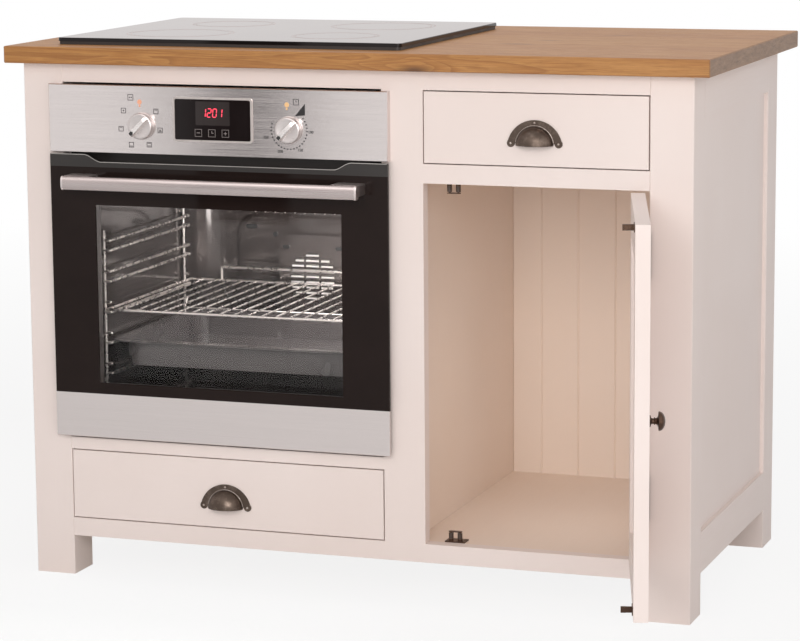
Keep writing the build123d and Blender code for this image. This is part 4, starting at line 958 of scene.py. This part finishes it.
# %% The display
glow, glow_shader = new_material("red_digits", tone(236, 60, 84), 0.4, Emission_Strength=1.1)
glow_shader.inputs["Emission Color"].default_value = (*tone(244, 70, 92), 1)
key_ink = speckled("touch_key_print", tone(150, 140, 138), tone(120, 112, 110), 0.5, 0.4)
field_glass = black_glass("display_field", tone(44, 37, 36), 0.12)
display_low, display_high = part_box("display_glass")
display_centre = (display_low + display_high) / 2
SEGMENTS = {"0": "abcdef", "1": "bc", "2": "abged"}
DIGIT_WIDE = 6.4
DIGIT_TALL = 13.5
DIGIT_BAR = 1.5
DIGIT_GAP = 0.35
DIGIT_PITCH = 9.6
SLANT = 0.10
KEY_PITCH = 23.8
FILM = 0.05 * MM


def digit(text, x, z):
    """One digit of slanted bars, each a long hexagon."""
    wide, tall, half = DIGIT_WIDE / 2, DIGIT_TALL / 2, DIGIT_BAR / 2
    spans = {"a": (-wide, tall, wide, tall), "g": (-wide, 0, wide, 0), "d": (-wide, -tall, wide, -tall),
             "f": (-wide, 0, -wide, tall), "e": (-wide, -tall, -wide, 0),
             "b": (wide, 0, wide, tall), "c": (wide, -tall, wide, 0)}
    bars = []
    for name in SEGMENTS[text]:
        x0, z0, x1, z1 = spans[name]
        lying = z0 == z1
        low = (x0 if lying else z0) + DIGIT_GAP
        high = (x1 if lying else z1) - DIGIT_GAP
        hexagon = [(low, 0), (low + half, half), (high - half, half),
                   (high, 0), (high - half, -half), (low + half, -half)]
        outline = [(a, z0 + b) if lying else (x0 - b, a) for a, b in hexagon]
        slanted = [(x + a + SLANT * b, z + b) for a, b in outline]
        bars.append(printed(display_centre, slanted, display_low.y))
    return bars


field = rounded(display_centre.x - 30 * MM, display_centre.x + 30 * MM,
                display_centre.z - 9 * MM, display_centre.z + 30 * MM, 1.5 * MM)
film = plate(field, display_low.y - FILM, FILM)
display_field = build("display_field", [film], field_glass, "cabinet")
digits = []
for index, text in enumerate("1201"):
    digits += digit(text, -15.5 + DIGIT_PITCH * index, 11.4)
build("display_digits", digits, glow, "cabinet")
DASH = (-0.45, -0.08, 0.45, 0.08)
KEY_SIGNS = [[DASH], CLOCK_HANDS, [DASH, (-0.08, -0.45, 0.08, 0.45)]]
keys = []
for index, bars in enumerate(KEY_SIGNS):
    keys += square_mark(display_centre, -25.5 + KEY_PITCH * index, -21.6, 6.2, bars, display_low.y, 0.6)
build("display_keys", keys, key_ink, "cabinet")
print("the display has", len(digits), "lit bars and", len(KEY_SIGNS), "keys")


# %% [markdown]
# ## The cupboard's door knob
# The knob is a cast mushroom on a thin neck with a small rose against the door. It is turned like
# the oven's knobs, but the door stands open, so the profile is turned about the line that the
# solid's own box gives and then aimed with the door.

# %% The cupboard's door knob
DOOR_OPEN = 106
DOOR_TURN = Matrix.Rotation(math.radians(DOOR_OPEN), 3, "Z")
outward = DOOR_TURN @ Vector((0, -1, 0))
knob_low, knob_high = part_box("cupboard_door_knob")
STUB_DEPTH, STUB_RADIUS, RIM_DEPTH = 12 * MM, 3 * MM, 14 * MM
foot_x = knob_low.x + STUB_DEPTH * outward.x + STUB_RADIUS * outward.y
foot_y = (knob_low.y + knob_high.y) / 2 - RIM_DEPTH * outward.y
knob_foot = Vector((foot_x, foot_y, (knob_low.z + knob_high.z) / 2))
ROSE = [(9.0, 0), (9.0, 1.2), (8.6, 2.1), (7.4, 2.7), (5.6, 3.0)]
NECK = [(4.5, 3.7), (4.1, 5.6), (4.3, 7.0), (5.5, 7.4), (5.8, 8.0), (5.5, 8.6), (4.4, 9.1), (4.6, 10.4)]
FLARE = [(5.9, 12.0), (8.8, 13.1), (12.4, 13.5), (14.0, 13.8), (14.5, 14.4), (14.3, 15.0)]
dome_turns = [math.radians(degrees) for degrees in range(8, 90, 9)]
DOME = [(14.2 * math.cos(turn), 15.0 + 8.9 * math.sin(turn)) for turn in dome_turns]
knob_profile = [(radius * MM, depth * MM) for radius, depth in ROSE + NECK + FLARE + DOME]
cast = turned(knob_foot, knob_profile, 64, DOOR_TURN)
door_knob = smooth(build("cupboard_door_knob_cast", [cast], bronze, "cupboard_door"), 40)
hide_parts("cupboard_door_knob")
print("the door knob stands at", [round(part, 4) for part in knob_foot])


# %% [markdown]
# ## The rings on the hob
# Each cooking zone is printed on the glass as a pair of thin rings. A Geometry Nodes tree sweeps
# a flat strip round a circle, once for every point it is given.

# %% The rings on the hob
ring_ink = speckled("zone_print", tone(190, 164, 160), tone(150, 128, 124), 0.35, 0.5)
ring_tree, sizes_in, shape_out = new_tree(
    "zone_rings", {"Radius": (FLOAT, 80 * MM), "Line": (FLOAT, 1.2 * MM)})
circle = step(ring_tree, "GeometryNodeCurvePrimitiveCircle",
              {"Resolution": 96, "Radius": sizes_in["Radius"]})
strip = step(ring_tree, "GeometryNodeCurvePrimitiveQuadrilateral",
             {"Width": sizes_in["Line"], "Height": INK})
swept = step(ring_tree, "GeometryNodeCurveToMesh", {"Curve": circle, "Profile Curve": strip})
copies = step(ring_tree, "GeometryNodeInstanceOnPoints",
              {"Points": sizes_in["Geometry"], "Instance": swept})
close_tree(ring_tree, copies, shape_out, ring_ink)
hob_low, hob_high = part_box("hob_glass")
hob_centre = (hob_low + hob_high) / 2
HEATER_X = 140 * MM
HEATER_Y = 118 * MM
ZONES = [("large", 90 * MM, ((-1, -1), (1, 1))), ("small", 72.5 * MM, ((-1, 1), (1, -1)))]
for size, radius, sides in ZONES:
    spots = [(hob_centre.x + a * HEATER_X, hob_centre.y + b * HEATER_Y, hob_high.z) for a, b in sides]
    for part, share in (("outer", 1.0), ("inner", 0.93)):
        grown(f"zone_ring_{size}_{part}", ring_tree, "cabinet", spots, Radius=radius * share)


# %% [markdown]
# ## The pressed back of the oven
# The back of the cavity is one pressing: a raised field with rounded corners, with two slots and
# two round holes near its upper corners. Two more slots are in the fan cover. The field is a plate
# with a sloping border, and each opening is a dark plate of painted shade with a rolled rim.

# %% The pressed back of the oven
fan_low, fan_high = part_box("fan_cover")
back_wall = fan_high.y
fan_x = (fan_low.x + fan_high.x) / 2
# Dark plates of painted shade stand in the openings, for the shade behind them.
opening_shade = speckled("opening_painted_shade", tone(12, 11, 11), tone(22, 20, 20), 0.8, 0.3)
FIELD = (fan_x - 150 * MM, fan_x + 150 * MM, 318 * MM, 562 * MM)
FIELD_CORNER = 34 * MM
FIELD_RISE = 4.4
FIELD_STEPS = ((6, 0.2), (5, 1.4), (3, 3.4), (0, 4.2), (-3, FIELD_RISE))
RIM_STEPS = ((0, 0.15), (0.4, 0.8), (1.1, 0.8), (1.6, 0.0))
HOLE_THICK = 0.15 * MM
raised = [upright(rounded(*FIELD, FIELD_CORNER, 12, grow * MM), back_wall - rise * MM)
          for grow, rise in FIELD_STEPS]
smooth(build("cavity_back_field", [raised], enamel, "cabinet"), 50)


def opening(x, z, wide, tall, face):
    """A dark plate of painted shade for an opening, and its rolled rim."""
    radius = min(wide, tall) / 2 * 0.98
    box = (x - wide / 2, x + wide / 2, z - tall / 2, z + tall / 2)
    hole = plate(rounded(*box, radius, 6), face - HOLE_THICK, HOLE_THICK)
    loops = [upright(rounded(*box, radius, 6, grow * MM), face - rise * MM) for grow, rise in RIM_STEPS]
    return hole, loops + [loops[0]]


field_face = back_wall - FIELD_RISE * MM
# An opening has a place, a width and a height in millimetres, and the face that it lies on.
OPENINGS = [(126, 545, 22, 8, field_face), (81, 532, 9, 9, field_face), (50, 514, 13, 6, fan_low.y)]
holes = []
rims = []
for side in (-1, 1):
    for x, z, wide, tall, face in OPENINGS:
        hole, rolled = opening(fan_x + side * x * MM, z * MM, wide * MM, tall * MM, face)
        holes.append(hole)
        rims.append(rolled)
build("cavity_opening_shade", holes, opening_shade, "cabinet")
smooth(build("cavity_opening_rims", rims, enamel, "cabinet"), 60)
print("openings in the back:", len(holes))


# %% [markdown]
# ## Lips and vents of the fan cover
# Each slot of the fan cover is punched so that its edge rolls forward into a lip. The lips are
# near-white, as painted light for the light that shines through the slots from behind. All the lips
# are bars along short lines: Geometry Nodes turn the lines into curves and sweep a circle along
# them. The same kind of pale bar edges the tray, as a painted highlight along its rim. A second
# tree sets small beads on points, for the row of vents above the field.

# %% Lips and vents of the fan cover
def bar_tree(name, material):
    """A tree that sweeps a round bar along every line of its mesh."""
    tree, entry, leave = new_tree(name, {"Radius": (FLOAT, 1.2 * MM)})
    curves = step(tree, "GeometryNodeMeshToCurve", {"Mesh": entry["Geometry"]})
    profile = step(tree, "GeometryNodeCurvePrimitiveCircle", {"Resolution": 10, "Radius": entry["Radius"]})
    bars = step(tree, "GeometryNodeCurveToMesh",
                {"Curve": curves, "Profile Curve": profile, "Fill Caps": True})
    close_tree(tree, bars, leave, material)
    return tree


def bead_tree(name, material):
    """A tree that sets a small bead on every point."""
    tree, entry, leave = new_tree(name, {"Radius": (FLOAT, 1.5 * MM)})
    bead = step(tree, "GeometryNodeMeshIcoSphere", {"Radius": entry["Radius"], "Subdivisions": 2})
    copies = step(tree, "GeometryNodeInstanceOnPoints", {"Points": entry["Geometry"], "Instance": bead})
    close_tree(tree, copies, leave, material)
    return tree


def in_pairs(ends):
    """Lines that join each even point to the next."""
    return [(i, i + 1) for i in range(0, len(ends), 2)]


rotor_low, rotor_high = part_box("fan_rotor")
fan_z = (rotor_low.z + rotor_high.z) / 2
GRILLE_RADIUS = 43.0
GRILLE_PITCH = 9.6
GRILLE_BRIDGE = 4.5
GRILLE_SHORTEST = 4
LIP_DROP = 1.4
LIP_RADIUS = 1.7 * MM
column = 2 * GRILLE_RADIUS / 3
ends = []
for row in range(-4, 5):
    half = math.sqrt(GRILLE_RADIUS ** 2 - (row * GRILLE_PITCH) ** 2)
    z = fan_z + (row * GRILLE_PITCH - LIP_DROP) * MM
    for i in range(3):
        start = max(-GRILLE_RADIUS + i * column + GRILLE_BRIDGE / 2, -half)
        stop = min(-GRILLE_RADIUS + (i + 1) * column - GRILLE_BRIDGE / 2, half)
        if stop - start > GRILLE_SHORTEST:
            ends += [(fan_x + x * MM, fan_low.y, z) for x in (start, stop)]
lip_tree = bar_tree("grille_lips", lip_painted_light)
grille_lips = grown("fan_grille_lips", lip_tree, "cabinet", ends, in_pairs(ends), Radius=LIP_RADIUS)
VENT_HEIGHT = 572 * MM
vent_spots = [(fan_x + (-120 + 19 * i) * MM, back_wall, VENT_HEIGHT) for i in range(11)]
vent_tree = bead_tree("vent_beads", satin_rim)
cavity_vents = grown("cavity_vents", vent_tree, "cabinet", vent_spots, Radius=LIP_RADIUS)
tray_low, tray_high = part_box("oven_tray")
edge_x = (tray_low.x + 26 * MM, tray_high.x - 26 * MM)
edge_y = (tray_low.y + 1.4 * MM, tray_high.y - 1.4 * MM)
rim_ends = [(x, y, tray_high.z - 1.2 * MM) for y in edge_y for x in edge_x]
rim_tree = bar_tree("tray_rims", lip_painted_light)
tray_rims = grown("oven_tray_rims", rim_tree, "oven_tray", rim_ends, in_pairs(rim_ends))


# %% [markdown]
# ## Screws
# Hinges, catches and strikes are screwed on, and so are the sheets on the back of the oven. One
# tree makes a head with a cross cut into it and sets it on every point it is given, turned by one
# input so that it faces away from what it holds. A small bridge over each catch ends the step.

# %% Screws
def screw_tree(name, material):
    """A tree that sets a cross-head screw on every point."""
    tree, entry, leave = new_tree(name, {"Radius": (FLOAT, 2.6 * MM), "Height": (FLOAT, 0.4 * MM),
                                         "Turn": (VECTOR, (0, 0, 0))})
    head = step(tree, "GeometryNodeMeshCylinder",
                {"Vertices": 20, "Radius": entry["Radius"], "Depth": entry["Height"]})
    long_side, short_side = [
        step(tree, "ShaderNodeMath", {0: entry["Radius"], 1: share}, operation="MULTIPLY")
        for share in (1.25, 0.28)]
    lift = step(tree, "ShaderNodeCombineXYZ", {2: entry["Height"]})
    for first, second in ((long_side, short_side), (short_side, long_side)):
        size = step(tree, "ShaderNodeCombineXYZ", {0: first, 1: second, 2: entry["Height"]})
        bar = step(tree, "GeometryNodeMeshCube", {"Size": size})
        scaled = step(tree, "ShaderNodeVectorMath", {0: lift, 1: (0, 0, 0.6)}, operation="MULTIPLY")
        raised = step(tree, "GeometryNodeTransform", {"Geometry": bar, "Translation": scaled})
        head = step(tree, "GeometryNodeMeshBoolean", {"Mesh 1": head, "Mesh 2": raised},
                    operation="DIFFERENCE")
    turn = step(tree, "FunctionNodeEulerToRotation", {0: entry["Turn"]})
    copies = step(tree, "GeometryNodeInstanceOnPoints",
                  {"Points": entry["Geometry"], "Instance": head, "Rotation": turn})
    close_tree(tree, copies, leave, material)
    return tree


bronze_screws = screw_tree("bronze_screws", bronze)
steel_screws = screw_tree("steel_screws", plated_steel)
front_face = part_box("front_long_rails")[0].y
hinge_low, hinge_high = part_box("butt_hinges_fixed")
catch_low, catch_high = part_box("catch_bodies")
catch_x = (catch_low.x + catch_high.x) / 2
BARREL = 4.5 * MM
HINGE_LENGTH = 75 * MM
LEAF_GAP = 0.2 * MM
LEAF_DEPTH = 11 * MM
pin = Vector((hinge_low.x + BARREL, hinge_low.y + BARREL, 0))


def swung(x, y, z):
    """A spot on the closed cupboard door, carried round with the open door."""
    return pin + DOOR_TURN @ (Vector((x, y, z)) - pin)


def turned_to(azimuth):
    """The turn that makes a head face a direction in the plan."""
    return (0.0, math.radians(90), math.radians(azimuth))


def catch_spots(z):
    """The two screws of one catch."""
    return [(catch_x + side * 13.2 * MM, catch_low.y + 15 * MM, z) for side in (-1, 1)]


leaf_heights = []
for low in (hinge_low.z, hinge_high.z - HINGE_LENGTH):
    leaf_heights += [low + share * HINGE_LENGTH for share in (0.14, 0.5, 0.86)]
fixed = [(pin.x + LEAF_GAP, front_face + LEAF_DEPTH, z) for z in leaf_heights]
moving = [swung(pin.x - LEAF_GAP, front_face + LEAF_DEPTH, z) for z in leaf_heights]
strikes = []
for z in (catch_low.z + 11 * MM, catch_high.z - 11 * MM):
    strikes += [swung(catch_x + a * 9.2 * MM, front_face + 23.5 * MM, z) for a in (-1, 1)]
SCREWS = [("hinge_screws_leg", "cabinet", fixed, turned_to(180), 2.9),
          ("hinge_screws_door", "cupboard_door", moving, turned_to(DOOR_OPEN), 2.9),
          ("strike_screws", "cupboard_door", strikes, turned_to(DOOR_OPEN + 90), 2.2),
          ("catch_screws_low", "cabinet", catch_spots(catch_low.z + 2 * MM), (0.0, 0.0, 0.0), 2.3),
          ("catch_screws_high", "cabinet", catch_spots(catch_high.z - 2 * MM),
           (math.radians(180), 0.0, 0.0), 2.3)]
for name, body, spots, turn, radius in SCREWS:
    screws = grown(name, bronze_screws, body, spots, Radius=radius * MM, Turn=turn, Height=0.3 * MM)
bridge = rounded(catch_x - 11.5 * MM, catch_x + 11.5 * MM,
                 catch_low.y + 1 * MM, catch_low.y + 9 * MM, 3.5 * MM)
bridges = []
for seat, way in ((catch_low.z, 1), (catch_high.z, -1)):
    levels = [seat + way * (17.1 + rise) * MM for rise in (0, 0.9, 1.2)]
    bridges.append([[Vector((x, y, z)) for x, y in bridge] for z in levels])
catch_bridges = smooth(build("catch_bridges", bridges, bronze, "cabinet"), 40)


# %% [markdown]
# ## Pale spots on the cup pulls
# On these pulls the three rivet heads and the bead that runs round the foot of the dome are picked
# out in a paler metal than the rest. Beads on points and a bar along an arc pick them out.

# %% Pale spots on the cup pulls
PULL_DEPTH = 24 * MM
PULL_WALL = 2 * MM
PULL_RISE = 40 * MM
BEAD_RADIUS = 31.3 * MM
RIVETS = ((0, 35.6), (39.1, 3), (-39.1, 3))
ARC_STEPS = 40
rivet_tree = bead_tree("rivets", paler_metal)
arc_tree = bar_tree("bead_arcs", paler_metal)
arc_turns = [math.radians(8 + 164 * i / ARC_STEPS) for i in range(ARC_STEPS + 1)]
arc_lines = [(i, i + 1) for i in range(ARC_STEPS)]
for name in ("wide_drawer", "narrow_drawer"):
    pull_low, pull_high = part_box(name + "_pull")
    across = (pull_low.x + pull_high.x) / 2
    foot = pull_high.z - PULL_RISE
    face = pull_low.y + PULL_DEPTH - PULL_WALL
    heads = [(across + x * MM, face - 0.2 * MM, foot + z * MM) for x, z in RIVETS]
    arc = [(across + BEAD_RADIUS * math.cos(turn), face - 0.5 * MM, foot + BEAD_RADIUS * math.sin(turn))
           for turn in arc_turns]
    rivets = grown(name + "_rivets", rivet_tree, name, heads, Radius=2.2 * MM)
    bead_arc = grown(name + "_bead", arc_tree, name, arc, arc_lines, Radius=0.75 * MM)


# %% [markdown]
# ## The back of the oven
# From behind one sees a galvanised casing. Warm air leaves it through rows of pressed louvres, and
# a small cover hides the terminals. The louvres are flattened balls, half sunk into the sheet at
# the points of a grid, each over a dark bar of painted shade where the slit opens.

# %% The back of the oven
TERMINAL_DEPTH = 22 * MM
LOUVRE_COLUMNS = 4
LOUVRE_ROWS = 7
EDGE = 12 * MM
casing_back = casing_high.y - TERMINAL_DEPTH
louvre_tree, entry, leave = new_tree("louvres", {"Size": (VECTOR, (34 * MM, 3 * MM, 4.5 * MM))})
ball = step(louvre_tree, "GeometryNodeMeshUVSphere", {"Segments": 24, "Rings": 12, "Radius": 1.0})
shell = step(louvre_tree, "GeometryNodeTransform", {"Geometry": ball, "Scale": entry["Size"]})
copies = step(louvre_tree, "GeometryNodeInstanceOnPoints", {"Points": entry["Geometry"], "Instance": shell})
close_tree(louvre_tree, copies, leave, zinc)
louvre_spots = []
slit_ends = []
for i in range(LOUVRE_COLUMNS):
    for row in range(LOUVRE_ROWS):
        x = casing_low.x + (95 + 120 * i) * MM
        z = casing_high.z - (70 + 17 * row) * MM
        louvre_spots.append((x, casing_back, z))
        slit_ends += [(x + reach * MM, casing_back, z - 4 * MM) for reach in (-30, 30)]
casing_louvres = grown("casing_louvres", louvre_tree, "cabinet", louvre_spots)
casing_slit_shade = grown("casing_slit_shade", bar_tree("slits", opening_shade), "cabinet", slit_ends,
                     in_pairs(slit_ends), Radius=0.9 * MM)
across = [casing_low.x + EDGE, (casing_low.x + casing_high.x) / 2, casing_high.x - EDGE]
up = [casing_low.z + EDGE, (casing_low.z + casing_high.z) / 2, casing_high.z - EDGE]
sheet_spots = [(x, casing_back, z) for x in across for z in up if (x, z) != (across[1], up[1])]
cover_x = [casing_high.x - (90 + side * 36) * MM for side in (-1, 1)]
sheet_spots += [(x, casing_high.y, casing_low.z + 60 * MM) for x in cover_x]
casing_screws = grown("casing_screws", steel_screws, "cabinet", sheet_spots, Turn=turned_to(90),
                      Radius=3.6 * MM, Height=1.6 * MM)


# %% [markdown]
# ## The floor, the light and the camera
# The object stands on a pale floor in a bright, even studio. To the camera and to mirrors the
# floor fades to pure white with distance, so that its edge never shows. The world is pure white to
# the camera, a warm white to mirrors and glass, and dimmer as a lamp. One dark card that only
# mirrors and glass see takes some of the glare off the steel, as photographers do it. Two small
# lamps light the oven and one the cupboard. The camera has no shift, so other views stay centred
# on the object.

# %% Floor
FLOOR_REACH = 14.0


def floor_paint():
    """The floor's material, which camera and mirrors see turn into plain white light further away."""
    material, shader = new_material("floor_white", tone(242, 241, 240), 0.9, Specular_IOR_Level=0.1)
    tree = material.node_tree
    rays = add(tree, "ShaderNodeLightPath").outputs
    white = add(tree, "ShaderNodeEmission", {"Color": (1, 1, 1, 1), "Strength": 1.0})
    place = add(tree, "ShaderNodeTexCoord").outputs["Object"]
    away = add(tree, "ShaderNodeVectorMath", {0: place}, operation="LENGTH").outputs["Value"]
    seen = calc(material, "MULTIPLY", rays["Is Camera Ray"], level(material, away, 0.86, 1.0, 1.4, 4.5))
    mirrored = calc(material, "MULTIPLY", rays["Is Glossy Ray"],
                    level(material, away, 0.40, 1.0, 1.2, 5.5))
    show_either(material, calc(material, "MAXIMUM", seen, mirrored), shader, white)
    return material


def card(name, corners, material):
    """A sheet with four corners, for the studio and not for the object."""
    mesh = bpy.data.meshes.new(name)
    mesh.from_pydata(corners, [], [(0, 1, 2, 3)])
    mesh.materials.append(material)
    return in_scene(name, mesh)


corner_signs = ((-1, -1), (1, -1), (1, 1), (-1, 1))
floor_corners = [(a * FLOOR_REACH, b * FLOOR_REACH, 0) for a, b in corner_signs]
floor = card("studio_floor", floor_corners, floor_paint())


# %% World and lamps
WORLD_LIGHT = 0.30
MIRROR_LIGHT = 0.98
WARM_WHITE = (1.0, 0.955, 0.945, 1)
LAMP_WHITE = (1, 0.985, 0.975)
world = bpy.data.worlds.new("studio")
bpy.context.scene.world = world
world.use_nodes = True
tree = world.node_tree
tree.nodes.clear()
rays = add(tree, "ShaderNodeLightPath").outputs
mirrors = step(tree, "ShaderNodeMath", {0: rays["Is Glossy Ray"], 1: rays["Is Transmission Ray"]},
               operation="MAXIMUM")
strength = step(tree, "ShaderNodeMapRange",
                {"Value": mirrors, "To Min": WORLD_LIGHT, "To Max": MIRROR_LIGHT})
sky = step(tree, "ShaderNodeBackground", {"Color": WARM_WHITE, "Strength": strength})
backdrop = step(tree, "ShaderNodeBackground", {"Color": (1, 1, 1, 1), "Strength": 1.0})
either = step(tree, "ShaderNodeMixShader", {0: rays["Is Camera Ray"], 1: sky, 2: backdrop})
add(tree, "ShaderNodeOutputWorld", {"Surface": either})


def soft_box(name, place, target, size, power):
    """A square lamp aimed at a point."""
    lamp = bpy.data.lights.new(name, "AREA")
    lamp.size = size
    lamp.energy = power
    lamp.color = LAMP_WHITE
    made = in_scene(name, lamp)
    made.location = place
    made.rotation_euler = (Vector(target) - Vector(place)).to_track_quat("-Z", "Y").to_euler()


# Each lamp has a name, a place, a target, a width in metres and a power in watts.
MIDDLE = (0.54, 0.25, 0.5)
STUDIO_LAMPS = [("key_lamp", (-0.6, -3.2, 2.6), MIDDLE, 1.8, 14),
                ("front_lamp", (1.45, -4.4, 1.95), (0.8, 0.3, 0.5), 2.2, 73),
                ("right_lamp", (3.1, -3.5, 1.4), (1.0, 0.0, 0.4), 1.8, 20),
                ("side_lamp", (3.6, -1.0, 1.9), MIDDLE, 1.8, 18),
                ("top_lamp", (0.4, 0.4, 3.0), MIDDLE, 1.5, 14)]
for lamp_row in STUDIO_LAMPS:
    soft_box(*lamp_row)
black_cloth = new_material("black_cloth", tone(36, 30, 29), 0.9)[0]
CARD_DEPTH = -2.2
card_corners = [(x, CARD_DEPTH, z) for x, z in ((-0.65, 0.3), (-0.41, 0.3), (-0.41, 1.1), (-0.65, 1.1))]
dark_card = card("panel_flag", card_corners, black_cloth)
dark_card.visible_camera = False
dark_card.visible_diffuse = False
dark_card.visible_shadow = False
cupboard_lamp_place = (hinge_low.x - 0.06, front_face + 0.12, catch_high.z - 0.30)
INSIDE_LAMPS = [
    ("oven_lamp", (oven_x + 0.12, 0.20, liner_high.z - 0.014), (oven_x, 0.2, 0.3), 0.12, 4.5),
    ("window_lamp", (oven_x + 0.05, 0.075, 0.575), (oven_x + 0.12, 0.4, 0.62), 0.16, 0.9),
    ("inside_lamp", cupboard_lamp_place, (catch_x - 0.1, 0.42, 0.12), 0.12, 0.22)]
for lamp_row in INSIDE_LAMPS:
    soft_box(*lamp_row)
print("lamps:", len(STUDIO_LAMPS) + len(INSIDE_LAMPS))


# %% Camera
LENS = 132.8
SENSOR = 36
VIEW_PLACE = (2.1866, -4.4579, 1.2581)
LOOK_DOWN = 9.583
ROLL = 0.448
TURN_LEFT = 19.37
camera = bpy.data.cameras.new("view")
camera.sensor_width = SENSOR
camera.lens = LENS
viewer = in_scene("view", camera)
viewer.location = VIEW_PLACE
viewer.rotation_euler = [math.radians(degrees) for degrees in (90 - LOOK_DOWN, ROLL, TURN_LEFT)]
bpy.context.scene.camera = viewer
bpy.context.scene.view_settings.view_transform = "Standard"
